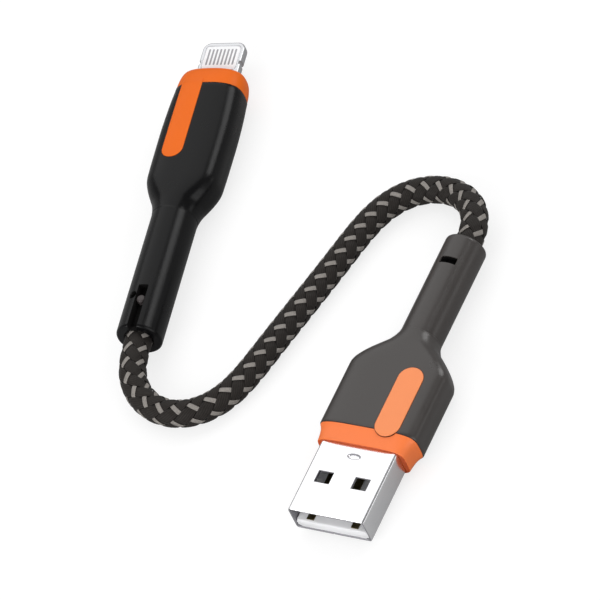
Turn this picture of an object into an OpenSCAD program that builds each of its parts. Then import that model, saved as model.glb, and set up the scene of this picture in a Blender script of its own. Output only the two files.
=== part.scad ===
// Short braided charging cable: a flat-shell charger plug, a slim reversible
// phone plug and one braided cord between them, lying on a flat floor.
// +Y runs from the charger plug's mouth to its cord, +Z is up, the floor is z = 0.
// The origin is on the flat underside of the charger plug's cover.

/* [Charger plug shell] */

// Outside width of the folded steel shell
shell_width = 12.0; // [11.6:0.1:12.4]
// Outside height of the folded steel shell
shell_height = 4.5; // [4.3:0.05:4.7]
// Thickness of the shell's sheet steel
shell_wall = 0.3; // [0.2:0.05:0.4]
// Shell length that shows in front of the collar
shell_exposed = 11.8; // [11:0.1:13]
// Shell length that is buried in the collar and the cover
shell_buried = 7.0; // [6:0.1:8]
// Outside radius of the shell's four long corners
shell_corner = 0.5; // [0.35:0.05:0.8]
// Width of one latch window
window_width = 2.4; // [1.8:0.1:2.8]
// Length of one latch window
window_length = 2.0; // [1.5:0.1:2.4]
// Distance from the middle plane to a window's centre
window_offset = 2.9; // [2.4:0.1:3.4]
// Distance from the mouth to the windows' centres
window_inset = 6.0; // [5:0.1:7]
// Distance from the collar to the stamped oval mark
mark_inset = 1.7; // [1.3:0.1:2.2]
// Short width of the stamped oval mark
mark_length = 0.8; // [0.6:0.1:0.9]

/* [Charger plug tongue and contacts] */

// Height of the tongue from its seat to its contact side
tongue_height = 1.45; // [1.3:0.05:1.8]
// Distance from the mouth to the tongue's front edge
tongue_inset = 0.3; // [0.3:0.1:1.2]
// Distance from the mouth to the tongue's full-height root
root_inset = 12.2; // [11:0.1:13]
// Width of one contact strip
contact_width = 1.1; // [0.8:0.05:1.4]
// Thickness of one contact strip
contact_thickness = 0.25; // [0.15:0.05:0.35]
// Depth that a contact strip is let into the tongue
contact_sunk = 0.1; // [0.05:0.01:0.15]
// Offset of the two outer, longer contacts
outer_contact_offset = 3.5; // [3.3:0.1:3.7]
// Offset of the two inner, shorter contacts
inner_contact_offset = 1.0; // [0.8:0.1:1.2]
// Distance from the mouth to the outer contacts
outer_contact_inset = 0.5; // [0.4:0.1:2]
// Distance from the mouth to the inner contacts
inner_contact_inset = 2.4; // [2:0.1:3.2]
// Solder tail behind the shell
solder_tail = 2.6; // [2:0.1:3]

/* [Charger plug housing] */

// Plastic of the inner mould beside the shell
mould_side = 0.3; // [0.2:0.05:0.5]
// Plastic of the inner mould above and below the shell
mould_roof = 0.3; // [0.2:0.05:0.6]
// Inner mould length past the cover's straight body
mould_reach = 1.4; // [0.5:0.1:1.5]
// Plastic of the inner mould behind its hollow
mould_heel = 1.4; // [1:0.1:2]
// Radius of the inner mould's long edges
mould_edge = 0.8; // [0.5:0.1:1.2]
// Length of an inner mould's round nose
nose_length = 4.5; // [3:0.5:5]
// Cover wall beside the inner mould
cover_side = 1.5; // [1:0.1:1.8]
// Cover wall above and below the inner mould
cover_roof = 0.7; // [0.6:0.05:1.2]
// Length of the orange collar
collar_length = 2.8; // [2.6:0.1:4]
// Step from the cover's side to the collar's widest point
collar_step = 0.1; // [0.1:0.05:0.4]
// Draw-in of the collar's front edge on each side
collar_draw = 0.75; // [0.5:0.05:1.2]
// Draw-in of the collar's front edge above and below
collar_dip = 0.3; // [0.2:0.05:0.6]
// Straight length of the cover behind the collar
cover_body = 10.6; // [9:0.1:12]
// Length of the shoulder between body and neck
cover_shoulder = 6.8; // [6:0.1:8]
// Length of the round neck
cover_neck = 16.8; // [14:0.1:20]
// Radius of the cover's long edges
cover_edge = 2.8; // [2:0.1:3]
// Wall of the neck round its bore
neck_wall = 1.0; // [0.8:0.05:1.2]
// Lip where a shoulder meets its neck, over the diameter
neck_lip = 0.15; // [0.1:0.05:0.2]
// Chamfer at a neck's end
neck_chamfer = 0.4; // [0.3:0.05:0.6]
// Width of the slot across the neck
neck_slot_width = 2.6; // [2:0.1:3.2]
// Length of the slot across the neck
neck_slot_length = 1.0; // [0.7:0.1:1.4]
// Distance from the neck's end to the slot's centre
neck_slot_inset = 4.7; // [4:0.1:6]

/* [Charger plug badge] */

// Width of the bare badge
badge_width = 3.8; // [3:0.1:4.4]
// Length of the bare badge
badge_length = 11.7; // [10:0.1:13]
// Distance from the middle plane to the badge's centre line
badge_offset = 3.2; // [2.8:0.1:4]
// Badge length that lies over the collar
badge_on_collar = 0.9; // [0.6:0.1:2.4]
// Depth of the badge's bed
inlay_depth = 0.5; // [0.4:0.05:0.6]
// Height by which an inlay stands proud
inlay_proud = 0.1; // [0.05:0.01:0.15]

/* [Phone plug blade] */

// Width of the blade
blade_width = 6.7; // [6.5:0.05:6.9]
// Thickness of the blade
blade_height = 1.5; // [1.4:0.05:1.6]
// Blade length that shows in front of the collar
blade_exposed = 6.6; // [6.2:0.1:7]
// Radius of the blade's two tip corners
blade_tip_corner = 1.3; // [0.8:0.1:1.6]
// Metal beside the contact window
blade_rail = 0.6; // [0.5:0.05:0.7]
// Metal in front of the contact window
blade_bow = 0.75; // [0.6:0.05:1]
// Length of the contact window
blade_window = 4.4; // [4:0.1:4.8]
// Radius of the blade's long edges
blade_edge = 0.45; // [0.3:0.05:0.6]
// Radius of the latch notch in each rail
latch_radius = 0.35; // [0.25:0.05:0.4]
// Distance from the tip to the latch notches
latch_inset = 3.8; // [3.2:0.1:4.2]
// Length of one contact pad
pad_length = 3.0; // [2.6:0.1:3.3]
// Width of one contact pad
pad_width = 0.36; // [0.3:0.02:0.4]
// Distance between neighbouring contact pads
pad_pitch = 0.6; // [0.55:0.01:0.64]
// Height of a contact pad above the board
pad_height = 0.28; // [0.2:0.02:0.3]
// Length of the flange that holds the blade in the can
flange_length = 2.2; // [1.8:0.1:2.6]

/* [Phone plug electronics] */

// Thickness of the circuit board
board_thickness = 0.8; // [0.6:0.05:0.9]
// Length of the board's wide part
board_length = 8.8; // [8:0.1:9]
// Air between the board's tongue and the blade's inside
board_clearance = 0.05; // [0.03:0.01:0.08]
// Board width beyond the blade's width
board_margin = 1.5; // [1.2:0.1:2]
// Wall of the steel screening can
can_wall = 0.2; // [0.15:0.05:0.25]
// Outside height of the steel screening can
can_height = 3.6; // [3.3:0.1:3.8]
// Plastic of the inner mould behind the can
can_heel = 0.8; // [0.6:0.1:1.2]
// Size of the square controller chip
chip_size = 3.4; // [3:0.1:4]
// Height of the controller chip
chip_height = 0.8; // [0.6:0.05:0.9]

/* [Phone plug housing] */

// Plastic of the inner mould beside the can
phone_mould_side = 0.4; // [0.3:0.05:0.6]
// Plastic of the inner mould above and below the can
phone_mould_roof = 0.7; // [0.5:0.05:0.9]
// Radius of the inner mould's long edges
phone_mould_edge = 1.4; // [0.8:0.1:1.6]
// Cover wall beside the inner mould
phone_cover_side = 0.65; // [0.6:0.05:0.9]
// Cover wall above and below the inner mould
phone_cover_roof = 1.1; // [0.9:0.05:1.3]
// Length of the orange collar
phone_collar_length = 3.2; // [2.6:0.1:3.6]
// Step from the cover's side to the collar's widest point
phone_collar_step = 0.05; // [0.02:0.01:0.1]
// Draw-in of the collar's front edge on each side
phone_collar_draw = 0.6; // [0.4:0.1:0.9]
// Swell of the cover's width half way along its body
phone_swell = 0.7; // [0:0.1:1]
// Straight length of the cover behind the collar
phone_body = 16.2; // [16:0.1:17]
// Length of the shoulder between body and neck
phone_shoulder = 6.5; // [6:0.1:8]
// Length of the round neck
phone_neck = 21.5; // [18:0.5:24]
// Radius of the cover's long edges
phone_edge = 3.2; // [2:0.1:3.4]
// Wall of the neck round its bore
phone_neck_wall = 1.3; // [1:0.05:1.5]
// Width of the collar's tongue on the cover
tongue_width = 3.4; // [3:0.1:3.8]
// Length of the collar's tongue on the cover
tongue_length = 13.8; // [11:0.1:15]
// Distance from the middle plane to the tongue's centre line
tongue_offset = 1.9; // [1.6:0.1:2.8]
// Width of the slit along the neck
slit_width = 1.4; // [1.2:0.1:1.6]
// Length of the slit, open at the neck's end
slit_length = 7.3; // [6.5:0.1:8]
// Distance from the neck's end to the locking pin
pin_inset = 5.1; // [4.5:0.1:5.5]
// Distance from the neck's end to the release hole
release_inset = 5.7; // [5:0.1:6.2]
// Sideways distance from the slit's middle to the release hole
release_offset = 1.35; // [1.2:0.05:1.5]
// Diameter of the release hole
release_diameter = 1.1; // [0.9:0.05:1.2]

/* [Cord] */

// Diameter over the woven braid
cord_diameter = 4.0; // [3.8:0.05:4.2]
// Thickness of the woven braid
braid_wall = 0.4; // [0.3:0.05:0.45]
// Radial air between neighbouring layers
layer_gap = 0.08; // [0.06:0.01:0.1]
// Thickness of the plastic jacket
jacket_wall = 0.33; // [0.28:0.01:0.35]
// Diameter of one insulated wire
wire_diameter = 0.8; // [0.7:0.02:0.84]
// Distance from the cord's middle to a wire's middle
wire_orbit = 0.65; // [0.62:0.01:0.68]
// Length of the steel crimp round the braid's end
crimp_length = 4.0; // [3:0.5:5]
// Wall of the steel crimp
crimp_wall = 0.4; // [0.3:0.05:0.5]

/* [Hidden] */

// Layout of the two necks' ends on the floor, and the phone plug's heading
charger_exit = [0, 28.7];
phone_exit = [-42, 3.5];
phone_turn = -169;

// Route of the cord from the charger plug to the phone plug: x, y and the share of
// the plug's axis height that is left. Straight out, down to the floor, two easy bends.
route = [
  [0, 31.4, 1], [-1.2, 34.6, 0.85], [-3.8, 37.2, 0.5], [-7.8, 38.6, 0.15], [-12.8, 37.6, 0],
  [-17, 33, 0], [-18.8, 24, 0], [-20.8, 15.4, 0], [-22.8, 7, 0], [-24.6, -1.8, 0],
  [-29, -6.2, 0], [-34, -7, 0.1], [-38, -5.4, 0.45], [-40.4, -2.6, 0.85], [-41.4, 0.6, 1]
];

// Stations along the charger plug, measured from its mouth
shell_length = shell_exposed + shell_buried;
cover_start = shell_exposed + collar_length;
cover_body_end = cover_start + cover_body;
cover_shoulder_end = cover_body_end + cover_shoulder;
charger_length = cover_shoulder_end + cover_neck;
tail_end = shell_length + solder_tail;
mould_end = cover_body_end + mould_reach;
hollow_end = mould_end - mould_heel;
nose_end = mould_end + nose_length;

// Sizes of the charger plug that follow from others
mould_width = shell_width + 2 * mould_side;
mould_height = shell_height + 2 * mould_roof;
cover_width = mould_width + 2 * cover_side;
cover_height = mould_height + 2 * cover_roof;
charger_axis_z = cover_height / 2;
inner_width = shell_width - 2 * shell_wall;
inner_height = shell_height - 2 * shell_wall;
tongue_top = tongue_height - inner_height / 2;
contact_top = tongue_top - contact_sunk + contact_thickness;
hollow_width = 2 * outer_contact_offset + contact_width + 1.2;
hollow_height = 2.8;

// Sizes of the cord that follow from others, and the spacing of its path's points in a neck
cord_radius = cord_diameter / 2;
jacket_radius = cord_radius - braid_wall - layer_gap;
bore_diameter = cord_diameter + 0.2;
jacket_bore = 2 * jacket_radius + 0.1;
crimp_bore = cord_diameter + 0.1;
crimp_diameter = crimp_bore + 2 * crimp_wall;
neck_diameter = bore_diameter + 2 * neck_wall;
phone_neck_diameter = bore_diameter + 2 * phone_neck_wall;
neck_step = 3;
cord_sides = 10;
wire_sides = 6;

// Stations along the phone plug, measured from its tip
phone_cover_start = blade_exposed + phone_collar_length;
flange_end = phone_cover_start + flange_length;
board_end = flange_end + board_length;
phone_body_end = phone_cover_start + phone_body;
can_end = phone_body_end - can_heel;
phone_nose_end = phone_body_end + nose_length;
phone_shoulder_end = phone_body_end + phone_shoulder;
phone_length = phone_shoulder_end + phone_neck;

// Sizes of the phone plug that follow from others
window_span = blade_width - 2 * blade_rail;
tongue_board_width = window_span - 2 * board_clearance;
can_inner_width = blade_width + board_margin;
can_inner_height = can_height - 2 * can_wall;
can_width = can_inner_width + 2 * can_wall;
phone_mould_width = can_width + 2 * phone_mould_side;
phone_mould_height = can_height + 2 * phone_mould_roof;
phone_cover_width = phone_mould_width + 2 * phone_cover_side;
phone_cover_height = phone_mould_height + 2 * phone_cover_roof;
phone_axis_z = phone_cover_height / 2;
pad_count = 8;

// A cut goes this far past the face that it opens
over = 1;

// ---------- shape helpers ----------

// Corner arc of a rounded rectangle in the section plane
function arc(cx, cz, r, from, steps) =
  [for (i = [0 : steps]) [cx + r * cos(from + 90 * i / steps), cz + r * sin(from + 90 * i / steps)]];

// Rounded rectangle, anticlockwise, starting at the lower right corner
function round_rect(w, h, r, steps = 4) = let (x = w / 2 - r, z = h / 2 - r) concat(
  arc(x, -z, r, -90, steps), arc(x, z, r, 0, steps), arc(-x, z, r, 90, steps), arc(-x, -z, r, 180, steps));

// One loft ring from a section [y, width, height, edge radius], grown by d all round
function ring(s, d = 0) =
  [for (p = round_rect(s[1] + 2 * d, s[2] + 2 * d, min(s[3], min(s[1], s[2]) / 2 - 0.01) + d)) [p[0], s[0], p[1]]];

function flat(lists) = [for (l = lists) each l];

// Triangles between ring i and ring i + 1, facing outwards
function side_faces(rings, n, base = 0) = flat([for (i = [0 : rings - 2], j = [0 : n - 1])
  let (a = base + i * n + j, b = base + i * n + (j + 1) % n) [[a, b, b + n], [a, b + n, a + n]]]);

function turned(faces) = [for (f = faces) [for (i = [len(f) - 1 : -1 : 0]) f[i]]];

// Solid skin over a list of rings with closed ends
module skin(rings) {
  n = len(rings[0]);
  last = (len(rings) - 1) * n;
  polyhedron(flat(rings), concat(side_faces(len(rings), n),
    [[for (j = [n - 1 : -1 : 0]) j]], [[for (j = [0 : n - 1]) last + j]]));
}

// Open-ended tube skin: outer rings, inner rings and an annulus at each end
module tube_skin(outer, inner) {
  n = len(outer[0]);
  m = len(outer);
  last = (m - 1) * n;
  polyhedron(concat(flat(outer), flat(inner)), concat(
    side_faces(m, n), turned(side_faces(m, n, m * n)),
    [for (j = [0 : n - 1]) let (k = (j + 1) % n) [k, j, m * n + j, m * n + k]],
    [for (j = [0 : n - 1]) let (k = (j + 1) % n)
      [last + j, last + k, m * n + last + k, m * n + last + j]]));
}

module loft(sections, grow = 0) {
  skin([for (s = sections) ring(s, grow)]);
}

// Prism along Y between two stations, drawn in the X-Z plane
module along(from, to) {
  translate([0, to, 0]) rotate([90, 0, 0]) linear_extrude(height = to - from) children();
}

// Rounded bar along Y
module bar(from, to, w, h, r) {
  along(from, to) polygon(round_rect(w, h, r));
}

// Square-edged bar along Y
module block(from, to, w, h) {
  translate([-w / 2, from, -h / 2]) cube([w, to - from, h]);
}

// True cylinder along Y
module rod(from, to, d) {
  translate([0, from, 0]) rotate([-90, 0, 0]) cylinder(d = d, h = to - from, $fn = 64);
}

// True cylinder along Y with a chamfer at its far end
module neck(from, to, d) {
  rod(from, to - neck_chamfer, d);
  translate([0, to - neck_chamfer, 0]) rotate([-90, 0, 0])
    cylinder(d1 = d, d2 = d - 2 * neck_chamfer, h = neck_chamfer, $fn = 64);
}

// Upright pill: a straight bar with two round ends, its middle line at x
module pill(x, from, to, w, low, high) {
  translate([x, 0, low]) {
    translate([0, from + w / 2, 0]) cylinder(d = w, h = high - low, $fn = 48);
    translate([0, to - w / 2, 0]) cylinder(d = w, h = high - low, $fn = 48);
    translate([-w / 2, from + w / 2, 0]) cube([w, to - from - w, high - low]);
  }
}

// ---------- placing ----------

module charger_place() {
  translate([charger_exit[0], charger_exit[1] - charger_length, charger_axis_z]) children();
}

module phone_place() {
  translate([phone_exit[0], phone_exit[1], phone_axis_z])
    rotate([0, 0, phone_turn]) translate([0, -phone_length, 0]) children();
}

function charger_point(p) =
  [charger_exit[0] + p[0], charger_exit[1] - charger_length + p[1], charger_axis_z + p[2]];

function phone_point(p) = let (y = p[1] - phone_length) [
  phone_exit[0] + p[0] * cos(phone_turn) - y * sin(phone_turn),
  phone_exit[1] + p[0] * sin(phone_turn) + y * cos(phone_turn),
  phone_axis_z + p[2]];

// ---------- the cord's path ----------

function route_point(i) = let (p = route[i], top = i < len(route) / 2 ? charger_axis_z : phone_axis_z)
  [p[0], p[1], cord_radius + (top - cord_radius) * p[2]];

// Smooth curve near the control points: a uniform cubic B-spline
function blend(a, b, c, d, t) = (pow(1 - t, 3) * a + (3 * pow(t, 3) - 6 * t * t + 4) * b
  + (-3 * pow(t, 3) + 3 * t * t + 3 * t + 1) * c + pow(t, 3) * d) / 6;

control = concat(
  [charger_point([0, charger_length - 2 * neck_step, 0]), charger_point([0, charger_length - neck_step, 0]),
   charger_point([0, charger_length, 0])],
  [for (i = [0 : len(route) - 1]) route_point(i)],
  [phone_point([0, phone_length, 0]), phone_point([0, phone_length - neck_step, 0]),
   phone_point([0, phone_length - 2 * neck_step, 0])]);
open_path = [for (i = [0 : len(control) - 4], t = [0, 0.5])
  blend(control[i], control[i + 1], control[i + 2], control[i + 3], t)];

// The path from one station in the charger plug to one station in the phone plug
function cord_path(charger_y, phone_y) = concat(
  [charger_point([0, charger_y, 0])], open_path, [phone_point([0, phone_y, 0])]);

function unit(v) = v / norm(v);
function heading(path, i) = unit(path[min(i + 1, len(path) - 1)] - path[max(i - 1, 0)]);
function across(t) = unit(cross(t, [0, 0, 1]));

// One ring of a swept cord, its first point straight down
function sweep_ring(path, i, r, sides) =
  let (t = heading(path, i), n = across(t), b = cross(n, t))
  [for (j = [0 : sides - 1]) let (a = -90 + 360 * j / sides) path[i] + r * (cos(a) * n + sin(a) * b)];

function sweep(path, r, sides) = [for (i = [0 : len(path) - 1]) sweep_ring(path, i, r, sides)];

// A path that runs beside another at a fixed place in its section
function beside(path, dx, dz) = [for (i = [0 : len(path) - 1])
  let (t = heading(path, i), n = across(t), b = cross(n, t)) path[i] + dx * n + dz * b];

// ---------- profiles that both plugs share ----------

// A collar's flare: share of its length, and the share of its draw-in that is left.
// The charger plug's swings out late, the phone plug's has a rounded front edge.
charger_flare = [[0, 1], [0.35, 0.85], [0.65, 0.62], [0.85, 0.3], [1, 0]];
phone_flare = [[0, 1], [0.1, 0.7], [0.3, 0.35], [0.7, 0.05], [1, 0]];

// A shoulder from body to neck: share of its length, of its way in, and of its way down
shoulder_profile = [[0, 0, 0], [0.12, 0.04, 0], [0.24, 0.14, 0.03], [0.4, 0.33, 0.15], [0.56, 0.57, 0.35],
  [0.72, 0.81, 0.6], [0.87, 0.94, 0.85], [1, 1, 1]];

function flare(profile, start, length, w, h, r, draw, dip) = [for (p = profile)
  [start + length * p[0], w - 2 * draw * p[1], h - 2 * dip * p[1], r - draw * p[1] / 2]];

function shoulder(start, length, w, h, r, neck) = [for (p = shoulder_profile)
  [start + length * p[0], w + (neck - w) * p[1], h + (neck - h) * p[2], r + (neck / 2 - r) * p[1]]];

// ---------- charger plug ----------

collar_sections = flare(charger_flare, shell_exposed, collar_length, cover_width - 2 * collar_step,
  cover_height - 2 * collar_step, cover_edge - collar_step, collar_draw, collar_dip);

cover_sections = concat([[cover_start, cover_width, cover_height, cover_edge]],
  shoulder(cover_body_end, cover_shoulder, cover_width, cover_height, cover_edge, neck_diameter + neck_lip));

module badge_bed(top) {
  pill(badge_offset, cover_start - badge_on_collar, cover_start - badge_on_collar + badge_length,
    badge_width, charger_axis_z - inlay_depth, top);
}

module charger_windows() {
  for (side = [-1, 1])
    translate([side * window_offset - window_width / 2, window_inset - window_length / 2, -shell_height])
      cube([window_width, window_length, 2 * shell_height]);
}

// Folded steel shell with latch windows above and below, a stamped mark and a seam
module charger_shell() {
  color("silver") charger_place() difference() {
    bar(0, shell_length, shell_width, shell_height, shell_corner);
    bar(-over, shell_length + over, inner_width, inner_height, shell_corner - shell_wall);
    charger_windows();
    translate([0, shell_exposed - mark_inset, 0]) rotate([0, 0, 90])
      pill(0, -mark_length, mark_length, mark_length, shell_height / 2 - 0.1, shell_height);
    translate([-0.06, -over, -shell_height / 2 - over])
      cube([0.12, shell_length + 2 * over, over + 0.12]);
  }
}

// Slots that the contact strips lie in
module contact_slots() {
  for (x = [-outer_contact_offset, -inner_contact_offset, inner_contact_offset, outer_contact_offset]) {
    start = abs(x) == outer_contact_offset ? outer_contact_inset : inner_contact_inset;
    translate([x - contact_width / 2, start, tongue_top - contact_sunk])
      cube([contact_width, tail_end - start, contact_thickness]);
  }
}

// White plastic tongue with a full-height root that plugs the shell's back
module charger_tongue() {
  color("white") charger_place() difference() {
    union() {
      translate([-inner_width / 2 + 0.1, tongue_inset, -inner_height / 2])
        cube([inner_width - 0.2, shell_length - tongue_inset, tongue_height]);
      bar(root_inset, shell_length, inner_width, inner_height, shell_corner - shell_wall);
    }
    contact_slots();
  }
}

module charger_contact(x, start) {
  color("gold") charger_place()
    translate([x - contact_width / 2, start, tongue_top - contact_sunk])
      cube([contact_width, tail_end - start, contact_thickness]);
}

module contact_power() { charger_contact(outer_contact_offset, outer_contact_inset); }
module contact_data_minus() { charger_contact(inner_contact_offset, inner_contact_inset); }
module contact_data_plus() { charger_contact(-inner_contact_offset, inner_contact_inset); }
module contact_ground() { charger_contact(-outer_contact_offset, outer_contact_inset); }

// Hard inner mould that grips the shell and guides the jacket
module charger_inner_mould() {
  color("lightgrey") charger_place() difference() {
    union() {
      bar(cover_start, mould_end, mould_width, mould_height, mould_edge);
      rod(mould_end - over, nose_end, crimp_diameter);
    }
    bar(cover_start - over, shell_length, shell_width, shell_height, shell_corner);
    block(shell_length - over, hollow_end, hollow_width, hollow_height);
    rod(hollow_end - over, nose_end + over, jacket_bore);
  }
}

// Orange collar round the shell, notched for the badge
module charger_collar() {
  color("orangered") charger_place() difference() {
    loft(collar_sections);
    bar(shell_exposed - over, cover_start + over, shell_width, shell_height, shell_corner);
    badge_bed(cover_height);
  }
}

// Soft-touch cover with shoulder, neck, badge bed and a slot across the neck
module charger_cover() {
  color("dimgray") charger_place() difference() {
    union() {
      loft(cover_sections);
      neck(cover_shoulder_end - over, charger_length, neck_diameter);
    }
    bar(cover_start - over, mould_end, mould_width, mould_height, mould_edge);
    rod(mould_end - over, nose_end + crimp_length, crimp_diameter);
    rod(nose_end, charger_length + over, bore_diameter);
    badge_bed(cover_height);
    translate([-neck_slot_width / 2, charger_length - neck_slot_inset - neck_slot_length / 2, 0])
      cube([neck_slot_width, neck_slot_length, neck_diameter]);
  }
}

// Bare badge that follows the collar and the cover and stands a hair proud
module charger_badge() {
  color("coral") charger_place() intersection() {
    badge_bed(cover_height);
    union() {
      loft(collar_sections, inlay_proud);
      loft(cover_sections, inlay_proud);
    }
  }
}

// Steel crimp round the braid's end
module charger_crimp() {
  color("silver") charger_place() difference() {
    rod(nose_end, nose_end + crimp_length, crimp_diameter);
    rod(nose_end - over, nose_end + crimp_length + over, crimp_bore);
  }
}

// ---------- phone plug ----------

phone_collar_sections = flare(phone_flare, blade_exposed, phone_collar_length,
  phone_cover_width - 2 * phone_collar_step, phone_cover_height - 2 * phone_collar_step, phone_edge,
  phone_collar_draw, phone_collar_draw);

// The phone plug's cover swells behind its collar: share of its body, and of its swell
swell_profile = [[0, 0], [0.15, 0.45], [0.3, 0.78], [0.5, 1], [0.75, 0.95]];
phone_sections = concat(
  [for (p = swell_profile) [phone_cover_start + phone_body * p[0], phone_cover_width + phone_swell * p[1],
    phone_cover_height, phone_edge]],
  shoulder(phone_body_end, phone_shoulder, phone_cover_width + phone_swell * 0.75, phone_cover_height, phone_edge,
    phone_neck_diameter + neck_lip));

module tongue_bed(from, top) {
  pill(tongue_offset, from, phone_cover_start + tongue_length, tongue_width,
    phone_axis_z - inlay_depth, top);
}

// Outline of the blade seen from above, with the notch that the socket's latch grips
module blade_outline() {
  half = blade_width / 2;
  difference() {
    polygon(concat(
      [[half, flange_end], [-half, flange_end]],
      [for (i = [0 : 6]) [-half + blade_tip_corner * (1 - cos(15 * i)), blade_tip_corner * (1 - sin(15 * i))]],
      [for (i = [6 : -1 : 0]) [half - blade_tip_corner * (1 - cos(15 * i)), blade_tip_corner * (1 - sin(15 * i))]]));
    for (side = [-1, 1]) translate([side * half, latch_inset]) circle(r = latch_radius, $fn = 32);
  }
}

// Bright metal blade: a frame round the contact window, with a flange in the can
module phone_blade() {
  color("gainsboro") phone_place() difference() {
    union() {
      intersection() {
        translate([0, 0, -blade_height / 2]) linear_extrude(height = blade_height) blade_outline();
        bar(0, flange_end, blade_width, blade_height, blade_edge);
      }
      block(phone_cover_start, flange_end, can_inner_width, can_inner_height);
    }
    translate([-window_span / 2, blade_bow, -blade_height]) cube([window_span, blade_window, 2 * blade_height]);
    block(blade_bow, flange_end + over, window_span, board_thickness + 2 * board_clearance);
  }
}

module pads(grow, deep) {
  for (i = [0 : pad_count - 1], side = [-1, 1])
    translate([(i - (pad_count - 1) / 2) * pad_pitch - pad_width / 2, blade_bow + 0.55,
      side > 0 ? board_thickness / 2 : -board_thickness / 2 - deep])
      cube([pad_width, pad_length, deep]);
}

// White insulator that fills the window round the pads
module phone_insulator() {
  color("white") phone_place() difference() {
    block(blade_bow, blade_bow + blade_window, window_span, blade_height - 0.06);
    block(blade_bow + 0.2, blade_bow + blade_window + over, tongue_board_width, board_thickness);
    pads(0, blade_height);
  }
}

// Contact pads on both faces of the board's tongue
module phone_contacts() {
  color("gold") phone_place() pads(0, pad_height);
}

// Circuit board with a narrow tongue in the blade
module phone_board() {
  color("darkgreen") phone_place() {
    block(blade_bow + 0.2, flange_end + over, tongue_board_width, board_thickness);
    block(flange_end, board_end, can_inner_width, board_thickness);
  }
}

// Controller chip on the board's upper face
module phone_chip() {
  color("black") phone_place()
    translate([-chip_size / 2, flange_end + 1.2, board_thickness / 2]) cube([chip_size, chip_size, chip_height]);
}

// Two small capacitors on the board's lower face
module phone_capacitors() {
  color("tan") phone_place() for (side = [-1, 1])
    translate([side * 2.2 - 0.5, flange_end + 2, -board_thickness / 2 - 0.6]) cube([1, 1.8, 0.6]);
}

// Steel screening can round the board
module phone_can() {
  color("silver") phone_place() difference() {
    block(phone_cover_start, can_end, can_width, can_height);
    block(phone_cover_start - over, can_end + over, can_inner_width, can_inner_height);
  }
}

// Hard inner mould round the can
module phone_inner_mould() {
  color("lightgrey") phone_place() difference() {
    union() {
      bar(phone_cover_start, phone_body_end, phone_mould_width, phone_mould_height, phone_mould_edge);
      rod(phone_body_end - over, phone_nose_end, crimp_diameter);
    }
    block(phone_cover_start - over, can_end, can_width, can_height);
    rod(can_end - over, phone_nose_end + over, jacket_bore);
  }
}

// Orange collar round the blade, with a tongue let into the cover's upper face
module phone_collar() {
  color("orangered") phone_place() {
    difference() {
      loft(phone_collar_sections);
      bar(blade_exposed - over, phone_cover_start + over, blade_width, blade_height, blade_edge);
    }
    intersection() {
      tongue_bed(phone_cover_start - 2, phone_cover_height);
      union() {
        loft(phone_collar_sections);
        loft(phone_sections, inlay_proud);
      }
    }
  }
}

// Soft-touch cover with shoulder, long neck, slit and release hole
module phone_cover() {
  color("black") phone_place() difference() {
    union() {
      loft(phone_sections);
      neck(phone_shoulder_end - over, phone_length, phone_neck_diameter);
    }
    bar(phone_cover_start - over, phone_body_end, phone_mould_width, phone_mould_height, phone_mould_edge);
    rod(phone_body_end - over, phone_nose_end + crimp_length, crimp_diameter);
    rod(phone_nose_end, phone_length + over, bore_diameter);
    tongue_bed(phone_cover_start - 2, phone_cover_height);
    translate([-slit_width / 2, phone_length - slit_length, 0])
      cube([slit_width, slit_length + over, phone_neck_diameter]);
    translate([release_offset, phone_length - release_inset, 0])
      cylinder(d = release_diameter, h = phone_neck_diameter, $fn = 32);
  }
}

// Locking pin that stands in the slit on the braid
module phone_lock_pin() {
  color("gray") phone_place()
    translate([0, phone_length - pin_inset, cord_radius])
      cylinder(d = slit_width, h = phone_neck_diameter / 2 - cord_radius - 0.25, $fn = 32);
}

// Steel crimp round the braid's end
module phone_crimp() {
  color("silver") phone_place() difference() {
    rod(phone_nose_end, phone_nose_end + crimp_length, crimp_diameter);
    rod(phone_nose_end - over, phone_nose_end + crimp_length + over, crimp_bore);
  }
}

// ---------- cord ----------

braid_path = cord_path(nose_end, phone_nose_end);
jacket_path = cord_path(hollow_end + 0.4, can_end + 0.4);

// Woven braid over the jacket
module cord_braid() {
  color("dimgray") tube_skin(sweep(braid_path, cord_radius, cord_sides),
    sweep(braid_path, cord_radius - braid_wall, cord_sides));
}

// Plastic jacket under the braid
module cord_jacket() {
  color("gray") tube_skin(sweep(jacket_path, jacket_radius, cord_sides),
    sweep(jacket_path, jacket_radius - jacket_wall, cord_sides));
}

// One insulated wire from its contact tail, through the jacket, to its solder pad.
// The inner pair (early = 1) gathers sooner than the outer pair, so no two wires meet.
module wire(tail_x, pad_x, dx, dz, early) {
  wire_rise = wire_diameter / 2 + 0.02;
  gather = 1.4 * early;
  core = beside(cord_path(hollow_end - gather, can_end - gather), dx, dz);
  skin(sweep(concat(
    [charger_point([tail_x, tail_end - 1.8, contact_top + wire_rise]),
     charger_point([tail_x, tail_end - 0.2, contact_top + wire_rise])],
    core,
    [phone_point([pad_x, board_end - 0.2, board_thickness / 2 + wire_rise]),
     phone_point([pad_x, board_end - 1.8, board_thickness / 2 + wire_rise])]),
    wire_diameter / 2, wire_sides));
}

side_step = wire_orbit * sin(45);
outer_pad = 3.0;
inner_pad = 0.9;

module wire_power() {
  color("red") wire(outer_contact_offset, -outer_pad, side_step, side_step, 0);
}
module wire_data_minus() {
  color("white") wire(inner_contact_offset, -inner_pad, side_step, -side_step, 1);
}
module wire_data_plus() {
  color("green") wire(-inner_contact_offset, inner_pad, -side_step, -side_step, 1);
}
module wire_ground() {
  color("black") wire(-outer_contact_offset, outer_pad, -side_step, side_step, 0);
}

// ---------- nodes ----------

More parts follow.
